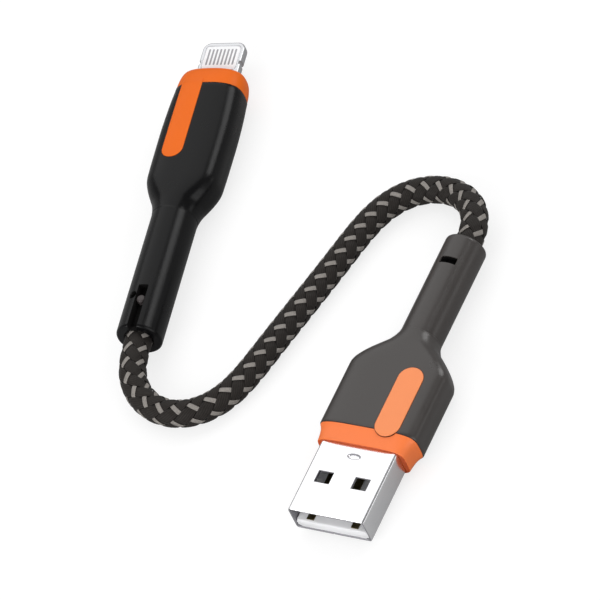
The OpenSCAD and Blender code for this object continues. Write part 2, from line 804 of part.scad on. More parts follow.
charger_shell();
charger_tongue();
contact_power();
contact_data_minus();
contact_data_plus();
contact_ground();
charger_inner_mould();
charger_collar();
charger_cover();
charger_badge();
charger_crimp();
phone_blade();
phone_insulator();
phone_contacts();
phone_board();
phone_chip();
phone_capacitors();
phone_can();
phone_inner_mould();
phone_collar();
phone_cover();
phone_lock_pin();
phone_crimp();
cord_braid();
cord_jacket();
wire_power();
wire_data_minus();
wire_data_plus();
wire_ground();
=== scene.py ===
"""Visual model of a short braided charging cable, in metres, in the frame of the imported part.

Lengths inside the sub-assemblies are in millimetres and become metres when a mesh is made.
Each plug is drawn along its own axis (+Y from its tip to its cord, +Z up, mid-plane z = 0)
and then set down on the floor by its Seat.
"""

import logging
from dataclasses import dataclass, field
from enum import Enum
from functools import partial
from typing import Callable, Optional, Sequence, Union

import bpy
import numpy as np
from mathutils import Matrix, Vector

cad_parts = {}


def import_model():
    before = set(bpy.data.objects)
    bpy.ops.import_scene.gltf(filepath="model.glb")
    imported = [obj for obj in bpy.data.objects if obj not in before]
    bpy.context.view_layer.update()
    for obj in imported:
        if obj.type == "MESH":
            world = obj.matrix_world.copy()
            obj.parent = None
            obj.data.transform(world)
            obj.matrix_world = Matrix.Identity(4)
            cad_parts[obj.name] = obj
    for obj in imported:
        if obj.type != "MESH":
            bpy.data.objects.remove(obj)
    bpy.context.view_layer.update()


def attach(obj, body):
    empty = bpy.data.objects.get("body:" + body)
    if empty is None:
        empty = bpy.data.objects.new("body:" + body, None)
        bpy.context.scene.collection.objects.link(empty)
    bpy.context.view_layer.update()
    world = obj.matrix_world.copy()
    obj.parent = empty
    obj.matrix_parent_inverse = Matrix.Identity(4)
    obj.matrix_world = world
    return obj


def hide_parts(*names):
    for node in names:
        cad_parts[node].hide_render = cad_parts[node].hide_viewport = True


MM = 0.001
LOG = logging.getLogger("charging_cable")
Array = np.ndarray
Number = Union[float, np.ndarray]
Pair = tuple[float, float]
Point = tuple[float, float, float]
Colour = tuple[float, float, float, float]
Value = Union[bpy.types.NodeSocket, float, Colour]


# ---------------------------------------------------------------- nodes and finishes


def srgb(red: float, green: float, blue: float) -> Colour:
    """Linear colour of a display colour in 0..255: a straight line near black, a power above.

    Args:
        red, green, blue: display values.
    Returns:
        Linear red, green, blue and an alpha of one.
    """
    c = np.array([red, green, blue]) / 255.0
    lin = np.where(c <= 0.04045, c / 12.92, ((c + 0.055) / 1.055) ** 2.4)
    return (float(lin[0]), float(lin[1]), float(lin[2]), 1.0)


def set_input(tree: bpy.types.NodeTree, slot: bpy.types.NodeSocket, value: Value) -> None:
    """Fill one input: a socket is linked to it, a plain value becomes its default.

    Args:
        tree: the node tree that holds the input.
        slot: the input.
        value: a socket or a plain value.
    """
    if isinstance(value, bpy.types.NodeSocket):
        tree.links.new(value, slot)
    else:
        slot.default_value = value


def add_node(tree: bpy.types.NodeTree, kind: str, values: Optional[dict[str, Value]] = None,
             **settings: object) -> bpy.types.Node:
    """New node with its settings made and then its inputs filled.

    Args:
        tree: the node tree that gets the node.
        kind: Blender's name of the node type.
        values: a socket or a plain value for each input, by name.
        settings: the node's own properties.
    Returns:
        The node.
    """
    node = tree.nodes.new(kind)
    for title, setting in settings.items():
        setattr(node, title, setting)
    for title, value in (values or {}).items():
        set_input(tree, node.inputs[title], value)
    return node


def math_node(tree: bpy.types.NodeTree, operation: str, *values: Value) -> bpy.types.NodeSocket:
    """One Math node whose inputs are sockets or plain numbers.

    Args:
        tree: the node tree that gets the node.
        operation: Blender's name of the operation.
        values: a socket or a number for each input.
    Returns:
        The node's value socket.
    """
    node = add_node(tree, "ShaderNodeMath", operation=operation)
    for slot, value in zip(node.inputs, values):
        set_input(tree, slot, value)
    return node.outputs[0]


def new_material(name: str, values: dict[str, Value]) -> tuple[bpy.types.Material, bpy.types.Node]:
    """Node material with plain values on its shader.

    Args:
        name: the material's name.
        values: a plain value for each shader input, by name.
    Returns:
        The material and its Principled shader.
    """
    mat = bpy.data.materials.new(name)
    mat.use_nodes = True
    shader = mat.node_tree.nodes["Principled BSDF"]
    for title, value in values.items():
        set_input(mat.node_tree, shader.inputs[title], value)
    return mat, shader


def finish_shader(tree: bpy.types.NodeTree, shader: bpy.types.Node, colour: bpy.types.NodeSocket,
                  roughness: bpy.types.NodeSocket, height: bpy.types.NodeSocket,
                  strength: float, depth_mm: float) -> None:
    """Link what varies over the surface to the shader.

    Args:
        tree: the material's node tree.
        shader: its Principled shader.
        colour, roughness: sockets for the base colour and the roughness.
        height: socket of the bump's height.
        strength, depth_mm: the bump's strength and depth.
    """
    bump = add_node(tree, "ShaderNodeBump",
                    {"Strength": strength, "Distance": depth_mm * MM, "Height": height})
    for title, socket in (("Base Color", colour), ("Roughness", roughness),
                          ("Normal", bump.outputs["Normal"])):
        tree.links.new(socket, shader.inputs[title])


class Weight(Enum):
    """How strongly a finish shows its grain."""

    FINE = 0.35
    MEDIUM = 0.7


class NodeGroups:
    """Shader node groups that several finishes share, each made once."""

    @staticmethod
    def _new(name: str, inputs: dict[str, float], outputs: Sequence[str]
             ) -> tuple[bpy.types.ShaderNodeTree, bpy.types.Node, bpy.types.Node]:
        """Empty group with a vector input, number inputs and number outputs.

        Args:
            name: the group's name.
            inputs: default of each number input, by name.
            outputs: names of the number outputs.
        Returns:
            The group, its input node and its output node.
        """
        group = bpy.data.node_groups.new(name, "ShaderNodeTree")
        add = group.interface.new_socket
        add(name="Vector", in_out="INPUT", socket_type="NodeSocketVector")
        for title, default in inputs.items():
            socket = add(name=title, in_out="INPUT", socket_type="NodeSocketFloat")
            socket.default_value = default
        for title in outputs:
            add(name=title, in_out="OUTPUT", socket_type="NodeSocketFloat")
        return group, group.nodes.new("NodeGroupInput"), group.nodes.new("NodeGroupOutput")

    @classmethod
    def moulded_grain(cls) -> bpy.types.ShaderNodeTree:
        """Pebble grain and slow cloudiness of a moulded face: fine noise over broad noise.

        Returns:
            The group, with outputs for the grain's height and the cloud.
        """
        if "moulded_grain" in bpy.data.node_groups:
            return bpy.data.node_groups["moulded_grain"]
        group, src, dst = cls._new("moulded_grain", {"Grain Scale": 9000.0, "Cloud Scale": 260.0},
                                   ("Height", "Cloud"))
        for scale, detail, rough, result in (("Grain Scale", 3.0, 0.6, "Height"),
                                             ("Cloud Scale", 4.0, 0.5, "Cloud")):
            noise = add_node(group, "ShaderNodeTexNoise", {
                "Vector": src.outputs["Vector"], "Scale": src.outputs[scale],
                "Detail": detail, "Roughness": rough})
            group.links.new(noise.outputs["Fac"], dst.inputs[result])
        return group

    @classmethod
    def drawn_lines(cls) -> bpy.types.ShaderNodeTree:
        """Faint lines that rolling or polishing leaves: noise drawn out along one axis.

        Returns:
            The group, with outputs for the lines' height and the streak of colour.
        """
        if "drawn_lines" in bpy.data.node_groups:
            return bpy.data.node_groups["drawn_lines"]
        group, src, dst = cls._new("drawn_lines", {"Across": 9000.0, "Along": 260.0},
                                   ("Height", "Streak"))
        across, along = src.outputs["Across"], src.outputs["Along"]
        both = add_node(group, "ShaderNodeCombineXYZ", {"X": across, "Y": along, "Z": across})
        stretch = add_node(group, "ShaderNodeVectorMath", operation="MULTIPLY")
        group.links.new(src.outputs["Vector"], stretch.inputs[0])
        group.links.new(both.outputs["Vector"], stretch.inputs[1])
        noise = add_node(group, "ShaderNodeTexNoise",
                         {"Vector": stretch.outputs["Vector"], "Scale": 1.0, "Detail": 2.0})
        for result in ("Height", "Streak"):
            group.links.new(noise.outputs["Fac"], dst.inputs[result])
        return group

    @classmethod
    def yarn_strands(cls) -> bpy.types.ShaderNodeTree:
        """Filaments of a flat yarn: ridges across it, broken up along it, read from a UV map.

        The ridge height is the absolute sine of the distance across the yarn, warped by noise;
        the shade is the ridge height mixed with finer noise: painted shade in the grooves between
        filaments and painted highlight on their crowns, with random tone from the noise.

        Returns:
            The group, with outputs for the ridge height and the shade.
        """
        if "yarn_strands" in bpy.data.node_groups:
            return bpy.data.node_groups["yarn_strands"]
        group, src, dst = cls._new("yarn_strands", {"Strands": 7.0, "Fuzz": 0.5},
                                   ("Height", "Shade"))
        calc, place = partial(math_node, group), src.outputs["Vector"]
        warp = add_node(group, "ShaderNodeTexNoise",
                        {"Vector": place, "Scale": 2.2, "Detail": 3.0}).outputs["Fac"]
        speck = add_node(group, "ShaderNodeTexNoise",
                         {"Vector": place, "Scale": 14.0, "Detail": 2.0}).outputs["Fac"]
        split = add_node(group, "ShaderNodeSeparateXYZ", {"Vector": place})
        wobble = calc("MULTIPLY", calc("SUBTRACT", warp, 0.5), src.outputs["Fuzz"])
        across = calc("ADD", split.outputs["X"], calc("MULTIPLY", wobble, 0.16))
        turns = calc("MULTIPLY", across, src.outputs["Strands"])
        ridge = calc("ABSOLUTE", calc("SINE", calc("MULTIPLY", turns, 3.14159)))
        shade = calc("ADD", calc("MULTIPLY", ridge, 0.6), calc("MULTIPLY", speck, 0.4))
        group.links.new(ridge, dst.inputs["Height"])
        group.links.new(shade, dst.inputs["Shade"])
        return group


@dataclass(frozen=True)
class Finish:
    """A solid surface finish with a fine grain and a slow change of colour and gloss."""

    name: str
    colour: Colour
    roughness: float = 0.45
    roughness_swing: float = 0.08
    colour_swing: float = 0.08
    metallic: float = 0.0
    grain: float = 9000.0
    cloud: float = 260.0
    bump_mm: float = 0.01
    weight: Weight = Weight.MEDIUM
    coat: float = 0.0
    coat_roughness: float = 0.2
    specular: float = 0.5
    drawn: bool = False

    def material(self) -> bpy.types.Material:
        """The finish as a node material, made once and then shared.

        The slow output of its group swings colour and roughness about their values, and the
        group's height feeds the bump.

        Returns:
            The material.
        """
        if self.name in bpy.data.materials:
            return bpy.data.materials[self.name]
        mat, shader = new_material(self.name, {
            "Metallic": self.metallic, "Coat Weight": self.coat,
            "Coat Roughness": self.coat_roughness, "Specular IOR Level": self.specular})
        tree = mat.node_tree
        if self.drawn:
            group, scales, slow = NodeGroups.drawn_lines(), ("Across", "Along"), "Streak"
        else:
            group, scales, slow = (NodeGroups.moulded_grain(), ("Grain Scale", "Cloud Scale"),
                                   "Cloud")
        where = add_node(tree, "ShaderNodeTexCoord")
        grain = add_node(tree, "ShaderNodeGroup", {
            "Vector": where.outputs["Object"], scales[0]: self.grain, scales[1]: self.cloud},
            node_tree=group)
        swing = grain.outputs[slow]
        dark, light = (tuple(min(1, c * (1 + way * self.colour_swing)) for c in self.colour[:3])
                       + (1,) for way in (-1, 1))
        blend = add_node(tree, "ShaderNodeMix", {"A": dark, "B": light, "Factor": swing},
                         data_type="RGBA")
        spread = math_node(tree, "MULTIPLY", math_node(tree, "SUBTRACT", swing, 0.5),
                           self.roughness_swing * 2)
        finish_shader(tree, shader, blend.outputs["Result"],
                      math_node(tree, "ADD", spread, self.roughness),
                      grain.outputs["Height"], self.weight.value, self.bump_mm)
        return mat


@dataclass(frozen=True)
class YarnFinish:
    """Woven nylon: black yarn on one set of carriers and grey yarn on the other."""

    name: str = "woven_nylon"
    black: Colour = srgb(37, 33, 30)
    fleck: Colour = srgb(140, 135, 130)
    roughness: float = 0.62
    strands: float = 6.0
    fuzz: float = 0.5
    # Range of the strands' shade on the colour: painted shade in the grooves, painted highlight on
    # the crowns.
    shading: Pair = (0.3, 1.45)
    bump: Pair = (0.6, 0.03)

    def material(self) -> bpy.types.Material:
        """The yarn as a node material that reads the ribbon's UV map and carrier attribute.

        The carrier picks the yarn's colour, and the strands' shade multiplies it: painted shade in
        the grooves between filaments, painted highlight on their crowns, and random tone.

        Returns:
            The material.
        """
        if self.name in bpy.data.materials:
            return bpy.data.materials[self.name]
        mat, shader = new_material(self.name, {
            "Sheen Weight": 0.06, "Sheen Roughness": 0.5, "Specular IOR Level": 0.2})
        tree = mat.node_tree
        uv = add_node(tree, "ShaderNodeUVMap", uv_map="yarn")
        strands = add_node(tree, "ShaderNodeGroup", {
            "Vector": uv.outputs["UV"], "Strands": self.strands, "Fuzz": self.fuzz},
            node_tree=NodeGroups.yarn_strands())
        carrier = add_node(tree, "ShaderNodeAttribute", attribute_name="carrier")
        tint = add_node(tree, "ShaderNodeMix", {
            "A": self.black, "B": self.fleck, "Factor": carrier.outputs["Fac"]},
            data_type="RGBA")
        ramp = add_node(tree, "ShaderNodeMapRange", {
            "Value": strands.outputs["Shade"], "To Min": self.shading[0],
            "To Max": self.shading[1]})
        shade = add_node(tree, "ShaderNodeMix", {
            "Factor": 1.0, "A": tint.outputs["Result"], "B": ramp.outputs["Result"]},
            data_type="RGBA", blend_type="MULTIPLY")
        rough = math_node(tree, "ADD", math_node(tree, "MULTIPLY", strands.outputs["Shade"], -0.15),
                          self.roughness + 0.1)
        finish_shader(tree, shader, shade.outputs["Result"], rough, strands.outputs["Height"],
                      *self.bump)
        return mat


SOFT_TOUCH = {"bump_mm": 0.008, "grain": 7000}
SMOOTH_MOULD = {"colour_swing": 0.03, "bump_mm": 0.006}
BRIGHT_METAL = {"roughness_swing": 0.05, "metallic": 1.0, "grain": 5200, "bump_mm": 0.003,
                "weight": Weight.FINE, "drawn": True}
CHARGER_COVER = Finish("charger_cover_soft_touch", srgb(55, 51, 49), roughness=0.31,
                       specular=0.60, **SOFT_TOUCH)
PHONE_COVER = Finish("phone_cover_soft_touch", srgb(12, 12, 13), roughness=0.25,
                     specular=0.20, **SOFT_TOUCH)
# Darker orange painted on the collar's front face as the shade there.
COLLAR_FRONT_PAINTED_SHADE = Finish("charger_collar_front_face", srgb(196, 84, 40), roughness=0.55, specular=0.2)
# Duller grey of raw sheet on the shell's inner face and cut edges, also darkened as painted shade;
# on the mark's rim it is a painted shadow line.
RAW_SHEET_AND_PAINTED_SHADE = Finish("raw_sheet_steel", srgb(150, 149, 154), roughness=0.42, metallic=0.5,
                    bump_mm=0.003)
# Dark brown ring painted round patches as the shadow line at their edge.
PAINTED_SHADOW_BROWN = Finish("shadow_gap", srgb(92, 40, 18), roughness=0.7, specular=0.2)
# Near-black finish painted on faces deep in a cut, as the shade inside slots and holes.
CUT_PAINTED_SHADE = Finish("shadowed_cut", srgb(12, 11, 11), roughness=0.8, specular=0.1)
CHARGER_COLLAR = Finish("charger_collar_orange", srgb(240, 122, 62), roughness=0.38,
                        specular=0.35, **SMOOTH_MOULD)
PHONE_COLLAR = Finish("phone_collar_orange", srgb(230, 105, 24), roughness=0.38,
                      specular=0.13, **SMOOTH_MOULD)
BADGE_ORANGE = Finish("badge_orange", srgb(238, 140, 86), roughness=0.40,
                      specular=0.35, **SMOOTH_MOULD)
SHELL_STEEL = Finish("bright_shell_steel", srgb(250, 250, 253), roughness=0.22,
                     colour_swing=0.03, cloud=160, **BRIGHT_METAL)
BLADE_METAL = Finish("bright_blade_metal", srgb(214, 215, 218), roughness=0.24,
                     colour_swing=0.04, cloud=220, **BRIGHT_METAL)
INNER_STEEL = Finish("stamped_inner_steel", srgb(190, 190, 194), roughness=0.34, metallic=1.0,
                     grain=4200, cloud=200, bump_mm=0.005, drawn=True)
WHITE_PLASTIC = Finish("white_moulding", srgb(246, 246, 248), roughness=0.42, **SMOOTH_MOULD)
NATURAL_PLASTIC = Finish("natural_inner_moulding", srgb(206, 204, 200), roughness=0.5,
                         bump_mm=0.012)
# Gold dulled and darkened: partly the contacts' colour, partly painted shade, as they sit deep in
# the mouth.
CONTACT_GOLD = Finish("worn_contact_gold", srgb(124, 114, 82), roughness=0.38, metallic=1.0,
                      grain=5200, cloud=300, bump_mm=0.003, drawn=True)
PAD_GREY = Finish("contact_pad_grey", srgb(150, 150, 154), roughness=0.35, bump_mm=0.003)
PIN_GREY = Finish("lock_pin_grey", srgb(62, 56, 56), roughness=0.5, bump_mm=0.01)
BOARD_GREEN = Finish("board_solder_mask", srgb(28, 96, 48), roughness=0.3, coat=0.4,
                     bump_mm=0.006)
CHIP_BLACK = Finish("chip_epoxy", srgb(34, 34, 36), roughness=0.6, bump_mm=0.01)
CERAMIC = Finish("capacitor_ceramic", srgb(150, 116, 84), roughness=0.5)
JACKET = Finish("jacket_rubber", srgb(56, 56, 58), roughness=0.6)
WIRES = {node: Finish(name, srgb(*colour), roughness=0.5) for node, name, colour in (
    ("wire_power", "wire_red", (190, 30, 28)), ("wire_data_minus", "wire_white", (228, 228, 224)),
    ("wire_data_plus", "wire_green", (34, 140, 60)), ("wire_ground", "wire_black", (36, 36, 38)))}
YARN = YarnFinish()


# ---------------------------------------------------------------- meshes from whole arrays


@dataclass(frozen=True)
class Seat:
    """Where a plug lies, in mm: its axis's end in the row frame, height, turn and length."""

    end: Pair
    height: float
    turn_deg: float
    length: float

    def place(self, points: Array) -> Array:
        """Plug points to row-frame metres: the plug's end goes to zero, is turned about Z and
        then shifted to the seat.

        Args:
            points: N x 3 in mm in the plug's own frame.
        Returns:
            N x 3 in metres in the row frame.
        """
        a = np.radians(self.turn_deg)
        x, y, z = points[:, 0], points[:, 1] - self.length, points[:, 2]
        across = self.end[0] + x * np.cos(a) - y * np.sin(a)
        along = self.end[1] + x * np.sin(a) + y * np.cos(a)
        return np.stack([across, along, self.height + z], axis=1) * MM


# Faces sunk further than this take a near-black finish: painted shade inside the cut.
DEEP = 0.3  # depth in mm past which a face lies in a cut
CHARGER_SEAT = Seat((0.0, 28.7), 3.25, 0.0, 48.8)
PHONE_SEAT = Seat((-42.0, 3.5), 3.6, -169.0, 54.0)


@dataclass
class Skin:
    """Vertices and quads of one surface, with an optional UV per vertex, and per face an
    optional carrier and an optional mark for faces that take a second finish, most often the
    painted shade deep in a cut."""

    points: Array
    quads: Array
    uv: Optional[Array] = None
    carrier: Optional[Array] = None
    deep: Optional[Array] = None

    @staticmethod
    def joined(skins: Sequence["Skin"]) -> "Skin":
        """Several skins as one: their arrays end to end, with the quads shifted.

        Args:
            skins: the skins, all with or all without UV and carrier.
        Returns:
            One skin, without marks for deep faces.
        """
        starts = np.cumsum([0] + [len(s.points) for s in skins[:-1]])
        quads = np.concatenate([s.quads + k for s, k in zip(skins, starts)])
        uv, carrier = (None if getattr(skins[0], part) is None else
                       np.concatenate([getattr(s, part) for s in skins])
                       for part in ("uv", "carrier"))
        return Skin(np.concatenate([s.points for s in skins]), quads, uv, carrier)


def grid_quads(rows: int, cols: int, wrap_rows: bool, wrap_cols: bool) -> Array:
    """Quads of a rows x cols grid: vertex (i, j) is i * cols + j, and a wrapped side joins its
    start.

    Args:
        rows, cols: size of the grid.
        wrap_rows, wrap_cols: whether the last row or column joins the first.
    Returns:
        M x 4 vertex indices.
    """
    i = np.arange(rows if wrap_rows else rows - 1)[:, None]
    j = np.arange(cols if wrap_cols else cols - 1)[None, :]
    i2, j2 = (i + 1) % rows, (j + 1) % cols
    corners = np.broadcast_arrays(i * cols + j, i * cols + j2, i2 * cols + j2, i2 * cols + j)
    return np.stack(corners, axis=-1).reshape(-1, 4)


def repeated_quads(quads: Array, copies: int, points: int) -> Array:
    """Quads of several copies of one shape that lie one after another in the vertex list.

    Args:
        quads: the quads of one copy.
        copies: number of copies.
        points: number of vertices of one copy.
    Returns:
        M x 4 vertex indices.
    """
    return (quads[None] + (np.arange(copies) * points)[:, None, None]).reshape(-1, 4)


def make_piece(name: str, skin: Skin, finish: Union[Finish, YarnFinish],
               replaced: Sequence[str], sharp_deg: float,
               inside: Optional[Finish] = None) -> bpy.types.Object:
    """Blender object from a skin, smooth apart from edges over an angle, riding on the part.

    Args:
        name: the object's name.
        skin: points in metres in the row frame, with quads, and for yarn a UV and a carrier.
        finish: the finish that dresses it.
        replaced: CAD nodes that it stands for.
        sharp_deg: edges steeper than this stay sharp.
        inside: finish of the faces that the skin marks as deep.
    Returns:
        The object.
    """
    mesh = bpy.data.meshes.new(name)
    quads = skin.quads.astype(np.int32)
    mesh.vertices.add(len(skin.points))
    mesh.vertices.foreach_set("co", skin.points.astype(np.float32).ravel())
    mesh.loops.add(quads.size)
    mesh.loops.foreach_set("vertex_index", quads.ravel())
    mesh.polygons.add(len(quads))
    mesh.polygons.foreach_set("loop_start", np.arange(len(quads), dtype=np.int32) * 4)
    mesh.polygons.foreach_set("loop_total", np.full(len(quads), 4, dtype=np.int32))
    mesh.update(calc_edges=True)
    if skin.carrier is not None:
        layer = mesh.uv_layers.new(name="yarn")
        layer.data.foreach_set("uv", skin.uv[quads.ravel()].astype(np.float32).ravel())
        mark = mesh.attributes.new("carrier", "FLOAT", "FACE")
        mark.data.foreach_set("value", skin.carrier.astype(np.float32))
    mesh.validate()
    mesh.polygons.foreach_set("use_smooth", np.ones(len(mesh.polygons), dtype=bool))
    if sharp_deg < 180:
        mesh.set_sharp_from_angle(angle=float(np.radians(sharp_deg)))
    piece = bpy.data.objects.new(name, mesh)
    bpy.context.scene.collection.objects.link(piece)
    mesh.materials.append(finish.material())
    if inside is not None and skin.deep is not None:
        mesh.materials.append(inside.material())
        mesh.polygons.foreach_set("material_index", skin.deep.astype(np.int32))
    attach(piece, "root")
    if replaced:
        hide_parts(*replaced)
    LOG.info("%s: %d faces, stands for %s", name, len(mesh.polygons),
             ", ".join(replaced) or "detail")
    return piece


def smooth(x: Array, low: float, high: float) -> Array:
    """Smooth step from 0 at low to 1 at high: 3t^2 - 2t^3 of the clipped share t.

    Args:
        x: the places.
        low, high: where the step begins and ends; a low over a high turns it round.
    Returns:
        The step's height at each place.
    """
    t = np.clip((x - low) / (high - low), 0.0, 1.0)
    return t * t * (3 - 2 * t)


def rounded_reach(cos: Array, sin: Array, half_w: Number, half_h: Number, r: Number) -> Array:
    """Distance from the centre of a rounded rectangle to its edge in a direction.

    On a flat side it is the half size over the direction's share; in a corner it is the far root
    of the circle about the corner's centre.

    Args:
        cos, sin: the direction.
        half_w, half_h, r: half width, half height and corner radius.
    Returns:
        The distances, broadcast.
    """
    c, s = np.abs(cos), np.abs(sin)
    r = np.minimum(r, np.minimum(half_w, half_h))
    cx, cz = half_w - r, half_h - r
    side = half_w / np.maximum(c, 1e-9)
    roof = half_h / np.maximum(s, 1e-9)
    along = c * cx + s * cz
    corner = along + np.sqrt(np.maximum(along**2 - cx**2 - cz**2 + r**2, 0.0))
    return np.where(side * s <= cz, side, np.where(roof * c <= cx, roof, corner))


def soft_power(half_w: Array, half_h: Array, r: Array) -> Array:
    """Power n of the superellipse |x/w|^n + |z/h|^n = 1 that passes through the corner of a
    rounded rectangle, met along its diagonal; two for a circle, more for a squarer section.

    Args:
        half_w, half_h, r: half width, half height and corner radius.
    Returns:
        The powers, broadcast.
    """
    diagonal = np.hypot(half_w, half_h)
    share = rounded_reach(half_w / diagonal, half_h / diagonal, half_w, half_h, r) / diagonal
    return np.log(2.0) / -np.log(np.clip(share, 0.01, 0.99))


def soft_reach(cos: Array, sin: Array, half_w: Array, half_h: Array, r: Array) -> Array:
    """Distance from the centre to a superellipse with the same width, height and corner:
    (|cos/w|^n + |sin/h|^n)^(-1/n).

    Args:
        cos, sin: the direction.
        half_w, half_h, r: half width, half height and corner radius.
    Returns:
        The distances, broadcast.
    """
    n = soft_power(half_w, half_h, r)
    return ((np.abs(cos) / half_w)**n + (np.abs(sin) / half_h)**n)**(-1 / n)


@dataclass(frozen=True)
class Station:
    """One section of a body along a plug: place, half sizes and corner radius, in mm."""

    y: float
    half_w: float
    half_h: float
    r: float


def eased(keys: Array, at: Array) -> Array:
    """Curve through keys without overshoot: cubic Hermite with slopes that are the harmonic
    mean of the neighbouring chords, or zero at a turning point.

    Args:
        keys: K x 2, place and value, with rising places.
        at: the places that are wanted.
    Returns:
        The values there.
    """
    x, v = keys[:, 0], keys[:, 1]
    h = np.diff(x)
    d = np.diff(v) / h
    m = np.zeros(len(x))
    same = d[:-1] * d[1:] > 0
    m[1:-1][same] = 2 * d[:-1][same] * d[1:][same] / (d[:-1][same] + d[1:][same])
    k = np.clip(np.searchsorted(x, at, side="right") - 1, 0, len(x) - 2)
    t = np.clip((at - x[k]) / h[k], 0, 1)
    return ((2 * t**3 - 3 * t**2 + 1) * v[k] + (t**3 - 2 * t**2 + t) * h[k] * m[k]
            + (-2 * t**3 + 3 * t**2) * v[k + 1] + (t**3 - t**2) * h[k] * m[k + 1])


def eased_body(stations: Sequence[Station], at: Array) -> Array:
    """Sections of a body at many places, eased between its stations.

    Args:
        stations: the sections that are known.
        at: the places that are wanted.
    Returns:
        Rows of y, half width, half height and radius.
    """
    s = np.array([[k.y, k.half_w, k.half_h, k.r] for k in stations])
    return np.stack([at] + [eased(s[:, [0, k]], at) for k in (1, 2, 3)], axis=1)


def round_rows(at: Array, radius: Number) -> Array:
    """Rows of a round body: place, and the radius as half width, half height and corner.

    Args:
        at: the rows' places.
        radius: one radius, or one for each row.
    Returns:
        Rows of y, half width, half height and radius.
    """
    radius = np.broadcast_to(radius, at.shape)
    return np.stack([at, radius, radius, radius], axis=1)


def round_columns(count: int, extra: Sequence[float] = ()) -> Array:
    """Angles round a section: even ones, and extra ones for the edges of a cut.

    Args:
        count: number of even angles.
        extra: the extra angles in degrees.
    Returns:
        The angles in radians, in rising order.
    """
    even = np.arange(count) * 2 * np.pi / count
    cut = np.radians(np.array(extra, dtype=float))
    return np.unique(np.round(np.concatenate([even, cut]), 6))


def capped(tube: Array) -> Array:
    """Tube with one more row at each end, at the end ring's middle, which closes it to a point.

    Args:
        tube: points as rows x columns x 3, after any leading axes.
    Returns:
        The same with two more rows.
    """
    ends = [np.repeat(ring.mean(axis=-2, keepdims=True), tube.shape[-2], axis=-2)
            for ring in (tube[..., :1, :, :], tube[..., -1:, :, :])]
    return np.concatenate([ends[0], tube, ends[1]], axis=-3)


def body_skin(rows: Array, angles: Array, soft: int = 0,
              sunk: Optional[Callable[[Array, Array, Array], Array]] = None) -> Skin:
    """Skin of a body whose every section is a rounded rectangle about the plug's axis, with the
    last row joined to the first.

    A point is the axis point plus the section's reach in the column's direction, less the depth
    that sunk gives there.

    Args:
        rows: y, half width, half height and radius of each row, in the order of the profile.
        angles: directions round the section.
        soft: number of leading rows whose section is a superellipse.
        sunk: depth in mm from row index, place y and angle, or None.
    Returns:
        The skin in mm, with faces marked deep where a corner is sunk by more than DEEP.
    """
    y, w, h, r = (rows[:, k][:, None] for k in range(4))
    row, a = np.arange(len(rows))[:, None], angles[None, :]
    reach = np.where(row < soft, soft_reach(np.cos(a), np.sin(a), w, h, r),
                     rounded_reach(np.cos(a), np.sin(a), w, h, r))
    depth = np.zeros_like(reach) if sunk is None else sunk(row, y, a)
    reach = reach - depth
    points = np.stack(np.broadcast_arrays(reach * np.cos(a), y, reach * np.sin(a)), axis=-1)
    quads = grid_quads(len(rows), len(angles), True, True)
    deep = np.broadcast_to(depth, reach.shape).ravel()[quads].max(axis=1) > DEEP
    return Skin(points.reshape(-1, 3), quads[:, ::-1], deep=deep)


def pill_skin(centre_x: float, start: float, end: float, width: float,
              rise: Callable[[Array, Array], Array], insets: Sequence[Pair],
              tips: int = 28, length_steps: int = 40) -> Skin:
    """Skin of a pill-shaped patch on a curved face, from rings of the pill's outline.

    Ring k is the outline drawn in by an inset and lifted above the face by a height; the first
    and the last ring are closed by quads across the middle line.

    Args:
        centre_x: place of the pill's middle line.
        start, end: its two ends along y.
        width: its width.
        rise: the face's height z at x and y.
        insets: inset and lift of each ring, from the foot to the crown.
        tips: steps round each end.
        length_steps: steps along each straight side.
    Returns:
        The skin in mm.
    """
    half = width / 2
    low, high = start + half, end - half
    t = np.linspace(0, np.pi, tips)
    s = np.linspace(0, 1, length_steps + 2)[1:-1]
    flat = np.zeros_like(s)
    head = np.stack([np.cos(t), np.sin(t), np.full_like(t, high)], axis=1)
    left = np.stack([flat - 1.0, flat, high + (low - high) * s], axis=1)
    tail = np.stack([-np.cos(t), -np.sin(t), np.full_like(t, low)], axis=1)
    right = np.stack([flat + 1.0, flat, low + (high - low) * s], axis=1)
    outline = np.roll(np.concatenate([head, left, tail, right]), -(tips // 2), axis=0)
    inset, lift = np.array(insets).T[:, :, None]
    drawn = np.maximum(half - inset, 0.02)
    x = centre_x + outline[None, :, 0] * drawn
    y = outline[None, :, 2] + outline[None, :, 1] * drawn
    points = np.stack([x, y, rise(x, y) + lift], axis=-1)
    rows, cols = points.shape[:2]
    quads = grid_quads(rows, cols, False, True)
    base, k = (rows - 1) * cols, np.arange(cols // 2 - 1)
    foot = np.stack([k, k + 1, cols - 2 - k, cols - 1 - k], axis=1)
    return Skin(points.reshape(-1, 3), np.concatenate([quads, foot + base, foot[:, ::-1]]))


